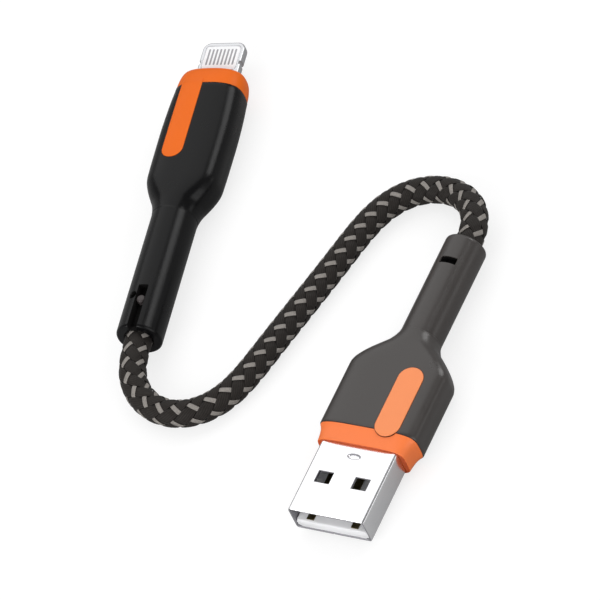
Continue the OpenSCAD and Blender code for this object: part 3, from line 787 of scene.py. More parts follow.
@dataclass(frozen=True)
class Studio:
    """Pale floor, soft lamps and the camera, in metres."""

    eye: Point = (0.36273, -0.36268, 0.59927)
    right: Point = (0.8653, 0.3982, -0.3046)
    up: Point = (-0.1522, 0.7876, 0.5971)
    lens_mm: float = 340.0
    middle: Point = (-0.02, 0.01, 0.0)
    lamps: tuple[tuple[str, Point, float, float], ...] = (
        ("key_softbox", (-0.44, 0.49, 0.82), 1.3, 5.6),
        ("front_softbox", (-0.22, -0.86, 0.42), 0.8, 6.4),
        ("side_softbox", (0.88, -0.30, 0.42), 0.8, 3.7),
        ("rim_softbox", (0.40, 0.85, 0.54), 0.50, 2.9),
        ("low_softbox", (0.93, 0.50, 0.13), 0.25, 0.2))
    light: float = 0.38
    horizon: float = 0.45
    zenith: float = 0.16
    floor_half: float = 3.0
    floor_drop: float = 0.0001
    floor_grey: float = 0.30
    floor_glow: float = 0.73
    floor_gleam: float = 0.09

    def camera(self) -> None:
        """Camera whose axes are the given right and up directions, made square to each other."""
        data = bpy.data.cameras.new("camera")
        data.lens = self.lens_mm
        data.sensor_width = 36.0
        data.clip_start, data.clip_end = 0.05, 20.0
        right = Vector(self.right).normalized()
        up = Vector(self.up)
        up = (up - right * up.dot(right)).normalized()
        back = right.cross(up)
        camera = bpy.data.objects.new("camera", data)
        camera.matrix_world = Matrix((
            (right.x, up.x, back.x, self.eye[0]), (right.y, up.y, back.y, self.eye[1]),
            (right.z, up.z, back.z, self.eye[2]), (0, 0, 0, 1)))
        bpy.context.scene.collection.objects.link(camera)
        bpy.context.scene.camera = camera

    def lamp(self, name: str, place: Point, size: float, watts: float) -> None:
        """Square soft lamp that faces the middle of the cable.

        Args:
            name: the lamp's name.
            place: where it hangs.
            size: its side.
            watts: its power.
        """
        data = bpy.data.lights.new(name, "AREA")
        data.shape = "SQUARE"
        data.size = size
        data.energy = watts
        lamp = bpy.data.objects.new(name, data)
        lamp.location = place
        aim = Vector(self.middle) - Vector(place)
        lamp.rotation_euler = aim.to_track_quat("-Z", "Y").to_euler()
        bpy.context.scene.collection.objects.link(lamp)

    def world(self) -> None:
        """White surroundings to the camera, dimmer as a light, and darker still in reflections,
        where they brighten towards the horizon; the softboxes are the bright part there."""
        world = bpy.data.worlds.new("studio")
        world.use_nodes = True
        bpy.context.scene.world = world
        tree = world.node_tree
        base = tree.nodes["Background"]
        base.inputs["Color"].default_value = (1, 1, 1, 1)
        path = add_node(tree, "ShaderNodeLightPath")
        where = add_node(tree, "ShaderNodeTexCoord")
        split = add_node(tree, "ShaderNodeSeparateXYZ", {"Vector": where.outputs["Generated"]})
        ramp = add_node(tree, "ShaderNodeMapRange", {
            "Value": split.outputs["Z"], "From Min": 0.0, "From Max": 0.5,
            "To Min": self.horizon, "To Max": self.zenith}, interpolation_type="SMOOTHSTEP")
        shown = math_node(tree, "MULTIPLY", path.outputs["Is Glossy Ray"],
                          math_node(tree, "SUBTRACT", ramp.outputs["Result"], self.light))
        plain = math_node(tree, "ADD", shown, self.light)
        strength = math_node(tree, "MAXIMUM", path.outputs["Is Camera Ray"], plain)
        tree.links.new(strength, base.inputs["Strength"])

    def floor(self) -> None:
        """Plain floor that keeps a faint shadow of the cable and shows white to the camera."""
        mesh = bpy.data.meshes.new("floor")
        half = self.floor_half
        mesh.from_pydata([(-half, -half, 0), (half, -half, 0), (half, half, 0), (-half, half, 0)],
                         [], [(0, 1, 2, 3)])
        floor = bpy.data.objects.new("floor", mesh)
        floor.location = (0, 0, -self.floor_drop)
        bpy.context.scene.collection.objects.link(floor)
        mat, shader = new_material("pale_floor", {
            "Base Color": (self.floor_grey,) * 3 + (1,), "Roughness": 0.9,
            "Specular IOR Level": 0.1, "Emission Color": (1, 1, 1, 1)})
        tree = mat.node_tree
        path = add_node(tree, "ShaderNodeLightPath")
        seen, mirrored = (math_node(tree, "MULTIPLY", path.outputs[ray], share) for ray, share in (
            ("Is Camera Ray", self.floor_glow), ("Is Glossy Ray", self.floor_gleam)))
        tree.links.new(math_node(tree, "ADD", seen, mirrored), shader.inputs["Emission Strength"])
        mesh.materials.append(mat)

    def build(self) -> None:
        """Camera, world, lamps and floor."""
        self.camera()
        self.world()
        for lamp in self.lamps:
            self.lamp(*lamp)
        self.floor()
        bpy.context.scene.view_settings.view_transform = "Standard"


# ---------------------------------------------------------------- the cord


# One flat yarn's section: share of the way across it, and share of its rise, over and then under.
YARN_SECTION = ((0.0, 0.02), (0.10, 0.075), (0.28, 0.10), (0.5, 0.105), (0.72, 0.10),
                (0.90, 0.075), (1.0, 0.02), (0.90, -0.05), (0.5, -0.07), (0.10, -0.05))


@dataclass
class BraidedCord:
    """The woven cord between the two necks, carried along one smooth route on the floor.

    The route repeats the part's points, in metres: x, y and the share of the plug's axis
    height that is left. The curve is a uniform cubic B-spline over them.
    """

    diameter: float = 0.0040
    charger_seat: Seat = CHARGER_SEAT
    phone_seat: Seat = PHONE_SEAT
    charger_inside: float = 31.1
    phone_inside: float = 30.5
    route: tuple[Point, ...] = (
        (0.0, 0.0314, 1.0), (-0.0012, 0.0346, 0.85), (-0.0038, 0.0372, 0.5),
        (-0.0078, 0.0386, 0.15), (-0.0128, 0.0376, 0.0), (-0.017, 0.033, 0.0),
        (-0.0188, 0.024, 0.0), (-0.0208, 0.0154, 0.0), (-0.0228, 0.007, 0.0),
        (-0.0246, -0.0018, 0.0), (-0.029, -0.0062, 0.0), (-0.034, -0.007, 0.1),
        (-0.038, -0.0054, 0.45), (-0.0404, -0.0026, 0.85), (-0.0414, 0.0006, 1.0))
    step: float = 0.1
    span_steps: int = 60
    carriers: int = 5
    turn_mm: float = 12.25
    black_yarn: Pair = (1.70, 1.0)
    grey_yarn: Pair = (0.64, 0.72)
    yarn_depth: float = 0.14
    yarn_sink: float = 0.02
    yarn_swing: float = 0.085
    swing_ease: float = 0.12
    swing_gain: float = 1.058
    yarn_inset: float = 0.9
    yarn_shift: float = 3.7
    points_per_crossing: int = 8
    core_depth: float = 0.27
    core_inset: float = 0.5
    core_step: float = 0.6
    core_columns: int = 20
    line: Array = field(default_factory=lambda: np.zeros((0, 3)))

    def plug_end(self, seat: Seat, inside: float) -> Array:
        """Route points on a plug's axis, from inside its neck to its tail.

        Args:
            seat: where the plug lies.
            inside: where the cord starts on the plug's axis, in mm.
        Returns:
            5 x 3 in mm in the row frame.
        """
        places = np.array([inside - 3, inside, (inside + seat.length) / 2, seat.length - 3,
                           seat.length])
        return seat.place(np.stack([np.zeros(5), places, np.zeros(5)], axis=1)) / MM

    def centreline(self) -> Array:
        """Centre points at even steps from inside one neck to inside the other, in mm.

        A curve point is the B-spline's blend of four route points: ((1-t)^3, 3t^3 - 6t^2 + 4,
        -3t^3 + 3t^2 + 3t + 1, t^3) / 6.

        Returns:
            N x 3, a step apart.
        """
        radius = self.diameter / MM / 2
        r = np.array(self.route)
        top = np.where(np.arange(len(r)) < len(r) / 2, self.charger_seat.height,
                       self.phone_seat.height)
        height = radius + (top - radius) * r[:, 2]
        control = np.concatenate([
            self.plug_end(self.charger_seat, self.charger_inside),
            np.stack([r[:, 0] / MM, r[:, 1] / MM, height], axis=1),
            self.plug_end(self.phone_seat, self.phone_inside)[::-1]])
        span = np.linspace(0, len(control) - 3, (len(control) - 3) * self.span_steps)[:-1]
        k, t = span.astype(int), (span % 1)[:, None]
        curve = ((1 - t)**3 * control[k] + (3 * t**3 - 6 * t**2 + 4) * control[k + 1]
                 + (-3 * t**3 + 3 * t**2 + 3 * t + 1) * control[k + 2] + t**3 * control[k + 3]) / 6
        run = np.concatenate([[0], np.cumsum(np.linalg.norm(np.diff(curve, axis=0), axis=1))])
        even = np.arange(0, run[-1], self.step)
        return np.stack([np.interp(even, run, curve[:, c]) for c in range(3)], axis=1)

    def frames(self, at: Array) -> tuple[Array, ...]:
        """Centre, side and up direction of the cord at distances along it.

        The side is square to the heading and level; the up direction is square to both.

        Args:
            at: distances in mm, of any shape.
        Returns:
            Three arrays of that shape plus a last axis of three.
        """
        steps = np.arange(len(self.line)) * self.step
        heading = np.gradient(self.line, axis=0)
        heading /= np.linalg.norm(heading, axis=1)[:, None]
        side = np.cross(heading, [0.0, 0.0, 1.0])
        side /= np.linalg.norm(side, axis=1)[:, None]
        return tuple(np.stack([np.interp(at, steps, values[:, c]) for c in range(3)], axis=-1)
                     for values in (self.line, side, np.cross(side, heading)))

    def on_cord(self, along: Array, angle: Array, reach: Array) -> Array:
        """Points round the cord: centre + reach * (cos(angle) * side + sin(angle) * up).

        Args:
            along: distances along the cord in mm.
            angle: angles round it in radians.
            reach: distances from its centre in mm.
        Returns:
            The points, with a last axis of three.
        """
        centre, side, up = self.frames(along)
        return (centre + (reach * np.cos(angle))[..., None] * side
                + (reach * np.sin(angle))[..., None] * up)

    def ribbons(self) -> Skin:
        """Flat yarns woven one over, one under: wide black ones one way, slim grey ones back.

        A yarn's middle runs round the cord at an even rate: angle = start + way * 2 pi * s / turn.
        Its reach swings between over and under as the flattened cosine of s / crossing. A point
        across the yarn moves square to the yarn's own direction on the cord, and the yarn's
        section is a low crown above and nearly flat below. The shift keeps two yarns' strands
        from looking alike.

        Returns:
            The skin in mm, with the carrier's mark on each face.
        """
        length = (len(self.line) - 1) * self.step
        crossing = self.turn_mm / (2 * self.carriers)
        mean = self.diameter / MM / 2 - self.yarn_depth
        lean = np.arctan2(2 * np.pi * mean, self.turn_mm)
        s = np.arange(self.yarn_inset, length - self.yarn_inset,
                      crossing / self.points_per_crossing)[None, :, None]
        start = np.arange(self.carriers)[:, None, None] * 2 * np.pi / self.carriers
        u, crown = np.array(YARN_SECTION).T
        skins = []
        for way, carrier, (width, rise) in ((1.0, 0.0, self.black_yarn),
                                            (-1.0, 1.0, self.grey_yarn)):
            across = (u - 0.5) * width
            wave = np.cos(np.pi * s / crossing) * way
            wave = wave / np.sqrt(wave**2 + self.swing_ease) * self.swing_gain
            reach = mean - self.yarn_sink + self.yarn_swing * wave + rise * crown
            turned = 2 * np.pi * s / self.turn_mm + across * np.cos(lean) / mean * way
            angle = start + way * turned
            along = s - way * across * np.sin(lean)
            points = capped(self.on_cord(*np.broadcast_arrays(along, angle, reach)))
            yarns, rows, cols = points.shape[:3]
            quads = repeated_quads(grid_quads(rows, cols, False, True), yarns, rows * cols)
            run = np.pad(s, ((0, 0), (1, 1), (0, 0)), mode="edge")
            uv = np.stack(np.broadcast_arrays(u, run + start * self.yarn_shift), axis=-1)
            skins.append(Skin(points.reshape(-1, 3), quads if way > 0 else quads[:, ::-1],
                              uv.reshape(-1, 2), np.full(len(quads), carrier)))
        return Skin.joined(skins)

    def core(self) -> Skin:
        """Dark tube under the yarns that fills the gaps between them: a plain round sweep.

        Returns:
            The skin in mm.
        """
        length = (len(self.line) - 1) * self.step
        s = np.arange(self.core_inset, length - self.core_inset, self.core_step)[:, None]
        a = np.arange(self.core_columns) * 2 * np.pi / self.core_columns
        reach = self.diameter / MM / 2 - self.core_depth
        points = capped(self.on_cord(*np.broadcast_arrays(s, a, reach)))
        rows, cols = points.shape[:2]
        quads = grid_quads(rows, cols, False, True)
        return Skin(points.reshape(-1, 3), quads[:, ::-1], np.zeros((rows * cols, 2)),
                    np.zeros(len(quads)))

    def build(self) -> None:
        """The woven cord as one piece between the two necks."""
        self.line = self.centreline()
        woven = Skin.joined([self.ribbons(), self.core()])
        woven.points = woven.points * MM
        piece = make_piece("woven_cord", woven, YARN, ["cord_braid"], 180.0)


# ---------------------------------------------------------------- what both plugs share


SHOULDER = ((0, 0, 0), (0.12, 0.04, 0), (0.24, 0.14, 0.03), (0.4, 0.33, 0.15),
            (0.56, 0.57, 0.35), (0.72, 0.81, 0.6), (0.87, 0.94, 0.85), (1, 1, 1))
# Rings of the painted shadow line round a pill patch: inset and lift, mostly under the patch.
SHADOW_RING_RINGS = ((0.0, -0.2), (0.0, 0.004), (0.02, 0.012), (0.09, 0.012), (0.09, -0.15))
SHADOW_RING_WIDTH = 0.07  # how far the painted shadow ring stands out round its patch, in mm
FRONT_RIM = ((0.0, 0.12), (0.035, 0.035))  # place from the cover's front, and how far drawn in
TAIL_ROUND = (0.45, 0.4)  # length and height of the rounded tail end
BORE_LIP = (0.12, 0.15)  # depth and width of the bore's widened mouth
NECK_STEP = 0.05  # how much wider the shoulder ends than the neck


@dataclass
class Plug:
    """What the two plugs share: where one lies, its covers' sizes and how they are drawn (mm)."""

    seat: Seat
    front: float
    cover_start: float
    body_end: float
    shoulder_end: float
    neck_half: float
    cover_half: Pair
    cover_edge: float
    mould_half: Pair
    mould_edge: float
    mould_end: float
    crimp_end: float
    join: Pair
    bore_half: float = 2.1
    crimp_half: float = 2.45

    def piece(self, name: str, skin: Skin, finish: Finish, slot: str, replaced: Sequence[str],
              sharp: float = 38.0, inside: Finish = CUT_PAINTED_SHADE) -> None:
        """A skin in plug millimetres, set down on the floor and made a piece.

        Args:
            name: the piece's name.
            skin: its skin.
            finish: its finish.
            slot: not used.
            replaced: CAD nodes that it stands for.
            sharp: edges over this many degrees stay sharp.
            inside: finish of the faces marked deep.
        """
        placed = Skin(self.seat.place(skin.points), skin.quads, deep=skin.deep)
        make_piece(name, placed, finish, replaced, sharp, inside)

    def collar_stations(self) -> list[Station]:
        """Outer sections of the collar; each plug gives its own."""
        raise NotImplementedError

    def cover_stations(self) -> list[Station]:
        """Outer sections of the cover; each plug gives its own."""
        raise NotImplementedError

    def shoulder(self, wide: float) -> list[Station]:
        """Sections from the end of the cover's body through its shoulder to the neck.

        Each share of the SHOULDER profile goes from the body's size to the neck's.

        Args:
            wide: half width of the body where the shoulder starts.
        Returns:
            The sections.
        """
        h, r, n = self.cover_half[1], self.cover_edge, self.neck_half + NECK_STEP
        span = self.shoulder_end - self.body_end
        return [Station(self.body_end + span * a, wide + (n - wide) * b, h + (n - h) * c,
                        r + (n - r) * b) for a, b, c in SHOULDER]

    def cover_skin(self, body_rows: int, neck_at: Array, columns: Array,
                   cut: Callable[[Array, Array], Array]) -> Skin:
        """Cover as one closed skin: front, body, shoulder, neck, rounded tail end, bore, crimp
        pocket and mould cavity, with the neck's cuts sunk in from outside.

        Args:
            body_rows: number of rows along the body.
            neck_at: places of the neck's rows.
            columns: directions round the section.
            cut: depth of the cuts at place y and angle.
        Returns:
            The skin in mm.
        """
        start, length, n = self.cover_start, self.seat.length, self.neck_half
        bore, crimp = self.bore_half, self.crimp_half
        rim, (round_length, round_height) = np.array(FRONT_RIM), TAIL_ROUND
        front = eased_body(self.cover_stations(), start + rim[:, 0])
        front[:, 1:3] -= rim[:, 1:]
        body = eased_body(self.cover_stations(), np.concatenate([
            np.linspace(start + 0.12, self.body_end, body_rows, endpoint=False),
            np.linspace(self.body_end, self.shoulder_end, 34)]))
        t = np.linspace(0, np.pi / 2, 9)
        tip = round_rows(length - round_length + round_length * np.sin(t),
                         n - round_height + round_height * np.cos(t))
        bores = round_rows(
            np.array([length, length - BORE_LIP[0], self.crimp_end, self.crimp_end,
                      self.mould_end]),
            np.array([bore + BORE_LIP[1], bore, bore, crimp, crimp]))
        cavity = np.array([[y, *self.mould_half, self.mould_edge] for y in (self.mould_end, start)])
        outside = np.concatenate([front, body, round_rows(neck_at, n), tip])

        def sunk(row: Array, y: Array, a: Array) -> Array:
            """Depth of the cuts, on the outside only."""
            return np.where(row < len(outside), cut(y, a), 0.0)

        return body_skin(np.concatenate([outside, bores, cavity]), columns,
                         len(front) + len(body), sunk)

    def collar_skin(self, at: Array, drawn_in: Point, opening: Array) -> Skin:
        """Collar as one closed ring: outside, back edge and the opening for its metal part.

        Args:
            at: places of the outer rows, from the front.
            drawn_in: how far the first, the second and the last outer row are drawn in.
            opening: rows of the opening, from the back to the front.
        Returns:
            The skin in mm.
        """
        outer = eased_body(self.collar_stations(), np.append(at, self.cover_start))
        outer[[0, 1, -1], 1:3] -= np.array(drawn_in)[:, None]
        return body_skin(np.concatenate([outer, opening]), round_columns(176), len(outer))

    def top_of_body(self, x: Array, y: Array) -> Array:
        """Height of the upper face, h * (1 - |x/w|^n)^(1/n) on the soft section, which turns
        from the collar's into the cover's over the join.

        Args:
            x, y: places in mm, of one shape.
        Returns:
            The heights, of that shape.
        """
        at = y.ravel()
        cover = eased_body(self.cover_stations(), np.clip(at, self.cover_start, None))
        collar = eased_body(self.collar_stations(), np.clip(at, self.front, self.cover_start))
        mixed = collar + (cover - collar) * smooth(at, *self.join)[:, None]
        w, h, r = mixed[:, 1:].T.reshape(3, *x.shape)
        n = soft_power(w, h, r)
        return h * (1 - np.clip(np.abs(x) / w, 0, 0.999)**n)**(1 / n)

    def painted_shadow_ring(self, name: str, slot: str, x: float, start: float, end: float,
             width: float) -> None:
        """Painted shadow line round a pill patch: a larger dark pill, a hair over the face.

        Args:
            name: the piece's name.
            slot: handed on to piece.
            x: place of the middle line.
            start: where the shadow line starts.
            end, width: the patch's end and width.
        """
        around = pill_skin(x, start, end + SHADOW_RING_WIDTH, width + 2 * SHADOW_RING_WIDTH, self.top_of_body, SHADOW_RING_RINGS)
        self.piece(name, around, PAINTED_SHADOW_BROWN, slot, [], 60.0)


# ---------------------------------------------------------------- the charger plug


@dataclass
class ChargerPlug(Plug):
    """Flat-shell plug: steel shell, tongue, orange collar, dark cover and bare badge (mm)."""

    seat: Seat = CHARGER_SEAT
    front: float = 11.8
    cover_start: float = 14.6
    body_end: float = 25.2
    shoulder_end: float = 32.0
    neck_half: float = 3.1
    cover_half: Pair = (7.8, 3.25)
    cover_edge: float = 2.8
    mould_half: Pair = (6.3, 2.55)
    mould_edge: float = 0.8
    mould_end: float = 26.6
    crimp_end: float = 35.1
    join: Pair = (13.0, 14.7)
    shell_half: Pair = (6.0, 2.25)
    shell_wall: float = 0.3
    shell_corner: float = 0.5
    shell_length: float = 18.8
    tongue_height: float = 1.45
    tongue_air: float = 0.05
    tongue_root: float = 12.2
    tongue_nose: tuple[Point, ...] = (
        (0.16, 0.10, 0.14), (0.18, 0.07, 0.11), (0.25, 0.05, 0.06), (0.35, 0.05, 0.02),
        (0.48, 0.05, 0.0))
    window_offset: float = 2.9
    window_size: Pair = (2.4, 2.0)
    window_inset: float = 6.0
    mark_inset: float = 1.7
    mark_half_length: float = 0.44
    mark_depth: float = 0.25
    mark_rim: Pair = (0.74, 1.0)
    rim_outside: Pair = (1.08, 0.52)
    rim_inside: Pair = (0.93, 0.35)
    fold_half: float = 0.07
    fold_depth: float = 0.12
    shell_lip: tuple[Pair, ...] = ((0.0, 0.06), (0.05, 0.015), (0.2, 0.0))
    badge: tuple[float, float, float, float] = (3.2, 13.7, 25.4, 3.8)
    badge_rings: tuple[Pair, ...] = (
        (0.0, -0.30), (0.0, 0.045), (0.012, 0.075), (0.04, 0.093), (0.09, 0.10), (0.3, 0.102),
        (0.7, 0.103), (1.2, 0.104), (1.9, 0.104))
    slot_at: float = 44.1
    slot_size: Pair = (2.6, 1.0)
    slot_depth: float = 0.95

    def collar_stations(self) -> list[Station]:
        """Outer sections of the collar, from its drawn-in front rim to its back."""
        w, h, r = self.cover_half[0] - 0.1, self.cover_half[1] - 0.1, self.cover_edge - 0.1
        span = self.cover_start - self.front
        return [Station(self.front + span * a, w - 0.75 * b, h - 0.3 * b, r - 0.375 * b)
                for a, b in ((0, 1), (0.35, 0.85), (0.65, 0.62), (0.85, 0.3), (1, 0))]

    def cover_stations(self) -> list[Station]:
        """Outer sections of the cover through its shoulder to the neck."""
        w, h = self.cover_half
        return [Station(self.cover_start, w, h, self.cover_edge)] + self.shoulder(w)

    def cover(self) -> None:
        """Cover with the slot sunk across the neck's top: one at the slot's middle, and smooth
        steps to zero at its ends and sides."""
        half_length = self.slot_size[1] / 2
        low, high = self.slot_at - half_length, self.slot_at + half_length
        rim = np.linspace(-0.12, 0.12, 9)
        neck_at = np.concatenate([
            np.linspace(self.shoulder_end + 0.05, low - 0.3, 16), low + rim,
            np.linspace(low + 0.2, high - 0.2, 5), high + rim,
            np.linspace(high + 0.3, self.seat.length - 0.5, 6)])
        half_angle = self.slot_size[0] / 2 / self.neck_half

        def slot(y: Array, a: Array) -> Array:
            """Depth of the slot at place y and angle a."""
            across = smooth(np.abs(a - np.pi / 2), half_angle + 0.02, half_angle - 0.02)
            along = smooth(np.abs(y - self.slot_at), half_length + 0.06, half_length - 0.06)
            return self.slot_depth * across * along

        edges = [90 + side * (np.degrees(half_angle) + d)
                 for side in (-1, 1) for d in (-1.4, -0.7, 0.0, 0.7, 1.4)]
        # Faces sunk deep in the slot take the near-black painted shade of the cut.
        skin = self.cover_skin(22, neck_at, round_columns(176, edges), slot)
        self.piece("charger_cover_skin", skin, CHARGER_COVER, "charger_soft_touch",
                   ["charger_cover"])

    def collar(self) -> None:
        """Orange collar round the shell: rounded front lip, front face painted darker as shade."""
        first, last = self.front, self.cover_start
        at = np.concatenate([first + np.array([0.0, 0.05, 0.12, 0.25]),
                             np.linspace(first + 0.45, last - 0.07, 18)])
        w, h = self.shell_half
        opening = np.array([[y, w + air, h + air, r] for y, air, r in (
            (last, 0.02, 0.5), (first + 0.25, 0.02, 0.5), (first + 0.2, 0.10, 0.55),
            (first + 0.02, 0.12, 0.6))])
        ring = self.collar_skin(at, (0.08, 0.03, 0.08), opening)
        # The front face is marked to take the darker orange of painted shade.
        ring.deep = ring.points[ring.quads, 1].max(axis=1) < first + 0.04
        self.piece("charger_collar_skin", ring, CHARGER_COLLAR, "orange_collar",
                   ["charger_collar"], inside=COLLAR_FRONT_PAINTED_SHADE)

    def tongue(self) -> None:
        """White tongue in the mouth's lower half, with the full-height root in the shell.

        Rows of rounded rectangles run back from a point in the front face, each with its place,
        its air at the sides and the drop b of its roof; a row is b lower and its middle b / 2,
        so that only the upper front edge is bevelled.
        """
        low, wide = self.shell_wall - self.shell_half[1], self.shell_half[0] - self.shell_wall
        half, roof = self.tongue_height / 2, self.shell_half[1] - self.shell_wall
        air, back, end = self.tongue_air, self.tongue_root, self.shell_length
        front = np.array([[self.tongue_nose[0][0], 0.01, 0.24],
                          *[[y, wide - gap, drop] for y, gap, drop in self.tongue_nose],
                          [back, wide - air, 0.0], [back, 0.01, 0.0]])
        tall = np.where(front[:, 1] < 1, 0.01, half - front[:, 2] / 2)
        rows = np.stack([front[:, 0], front[:, 1], tall, np.full(len(front), 0.08)], axis=1)
        corner = np.degrees(np.arctan2(half, wide))
        blade = body_skin(rows, round_columns(96, corner * np.array([0.9, 1.0, 1.1])))
        blade.points[:, 2] += np.repeat(low + half - front[:, 2] / 2,
                                        len(blade.points) // len(rows))
        root = body_skin(np.array([[back, 0.01, 0.01, 0.005], [back, wide, roof, 0.2],
                                   [end, wide, roof, 0.2], [end, 0.01, 0.01, 0.005]]),
                         round_columns(96))
        self.piece("charger_tongue_skin", Skin.joined([blade, root]), WHITE_PLASTIC,
                   "white_plastic", ["charger_tongue"], 50.0)

    def bare_badge(self) -> None:
        """Bare badge: a pill patch that stands a hair proud, with a softly rounded rim."""
        x, start, end, width = self.badge
        # A dark ring round the badge, painted as the shadow line at its edge.
        self.painted_shadow_ring("charger_badge_painted_shadow", "orange_badge", x, start - SHADOW_RING_WIDTH, end, width)
        patch = pill_skin(x, start, end, width, self.top_of_body, self.badge_rings)
        self.piece("charger_badge_skin", patch, BADGE_ORANGE, "orange_badge",
                   ["charger_badge"], 60.0)

    def shell_loop(self) -> Array:
        """Section of the shell as one loop of rows: x, z, and the outward direction's x and z.

        The corners are quarter circles; the flat sides have even lines, lines at the windows'
        sides, and close ones under the mark and at the fold.

        Returns:
            One row for each line of the sheet, round the section.
        """
        w, h, r = *self.shell_half, self.shell_corner
        arc = np.linspace(0, np.pi / 2, 7)
        sides = self.window_offset + self.window_size[0] / 2 * np.array([-1, 1])
        flat = np.unique(np.round(np.concatenate([
            np.linspace(-(w - r), w - r, 25), -sides, sides, np.linspace(-1.12, 1.12, 41),
            [-0.09, -0.06, 0.06, 0.09]]), 4))[1:-1]
        tall = np.linspace(-(h - r), h - r, 7)[1:-1]
        parts = []
        for sx, sz, start in ((1, 1, 0.0), (-1, 1, np.pi / 2), (-1, -1, np.pi),
                              (1, -1, 1.5 * np.pi)):
            cos, sin = np.cos(start + arc), np.sin(start + arc)
            line = (flat if sx == sz else tall)[::-sz]
            one, none = np.ones_like(line), np.zeros_like(line)
            side = [line, sz * h * one, none, sz * one] if sx == sz else [
                sx * w * one, line, sx * one, none]
            parts += [[sx * (w - r) + r * cos, sz * (h - r) + r * sin, cos, sin], side]
        return np.concatenate([np.stack(part, axis=1) for part in parts])

    def shell(self) -> None:
        """Folded steel shell: outer and inner face on one grid, open at the windows, with rims.
        The inner face and the cut edges have the duller grey of raw sheet, darkened further as
        painted shade, and the mark's rim has the same grey as a painted shadow line.

        A point is the loop's point drawn in along its outward direction: outside by the lip, the
        mark and the fold, inside by the wall. A cell inside a window is left out on both faces
        and its border is joined.
        """
        h = self.shell_half[1]
        loop = self.shell_loop()
        win, half = self.window_size[0] / 2, self.window_size[1] / 2
        mark = self.front - self.mark_inset
        y = np.unique(np.round(np.concatenate([
            [place for place, _ in self.shell_lip], np.linspace(0.5, self.shell_length, 30),
            [self.window_inset - half, self.window_inset + half],
            mark + np.linspace(-0.6, 0.6, 41)]), 4))[:, None]
        oval = np.hypot(loop[:, 0], (y - mark) / self.mark_half_length)
        stamped = self.mark_depth * (1 - smooth(oval, *self.mark_rim))
        fold = (loop[:, 3] < -0.9) & (np.abs(loop[:, 0]) < self.fold_half)
        lip = np.interp(y, *np.array(self.shell_lip).T)
        outside = (lip + (np.where(loop[:, 3] > 0.9, stamped, 0.0)
                          + np.where(fold, self.fold_depth, 0.0)))
        inward = np.stack(np.broadcast_arrays(outside, self.shell_wall - lip))
        points = np.stack(np.broadcast_arrays(loop[:, 0] - inward * loop[:, 2], y,
                                              loop[:, 1] - inward * loop[:, 3]), axis=-1)
        count = len(y) * len(loop)
        points = points.reshape(-1, 3)
        quads = grid_quads(len(y), len(loop), False, True)
        centre = points[quads].mean(axis=1)
        hole = ((np.abs(np.abs(centre[:, 0]) - self.window_offset) < win)
                & (np.abs(centre[:, 1] - self.window_inset) < half)
                & (np.abs(centre[:, 2]) > h - 0.2))
        kept = quads[~hole]
        edges = np.concatenate([kept[:, [k, (k + 1) % 4]] for k in range(4)])
        key = np.sort(edges, axis=1)
        _, index, counts = np.unique(key[:, 0] * count + key[:, 1], return_index=True,
                                     return_counts=True)
        rim = edges[index[counts == 1]]
        joins = np.stack([rim[:, 0], rim[:, 1], rim[:, 1] + count, rim[:, 0] + count], axis=1)
        x, along, z = (centre[~hole] - [0, mark, 0]).T
        outer, inner = (np.hypot(x / half_x, along / half_y)
                        for half_x, half_y in (self.rim_outside, self.rim_inside))
        # The mark's rim takes the grey as a painted shadow line; the inner face and window edges
        # take it as raw sheet darkened as painted shade.
        deep = np.concatenate([(outer < 1) & (inner > 1) & (z > h - 0.5),
                               np.ones(len(kept) + len(joins), dtype=bool)])
        skin = Skin(points, np.concatenate([kept[:, ::-1], kept + count, joins]), deep=deep)
        self.piece("charger_shell_skin", skin, SHELL_STEEL, "shell_steel",
                   ["charger_shell"], 30.0, RAW_SHEET_AND_PAINTED_SHADE)

    def build(self) -> None:
        """Every visible piece of the plug."""
        for make in (self.cover, self.collar, self.bare_badge, self.shell, self.tongue):
            make()


# ---------------------------------------------------------------- the phone plug


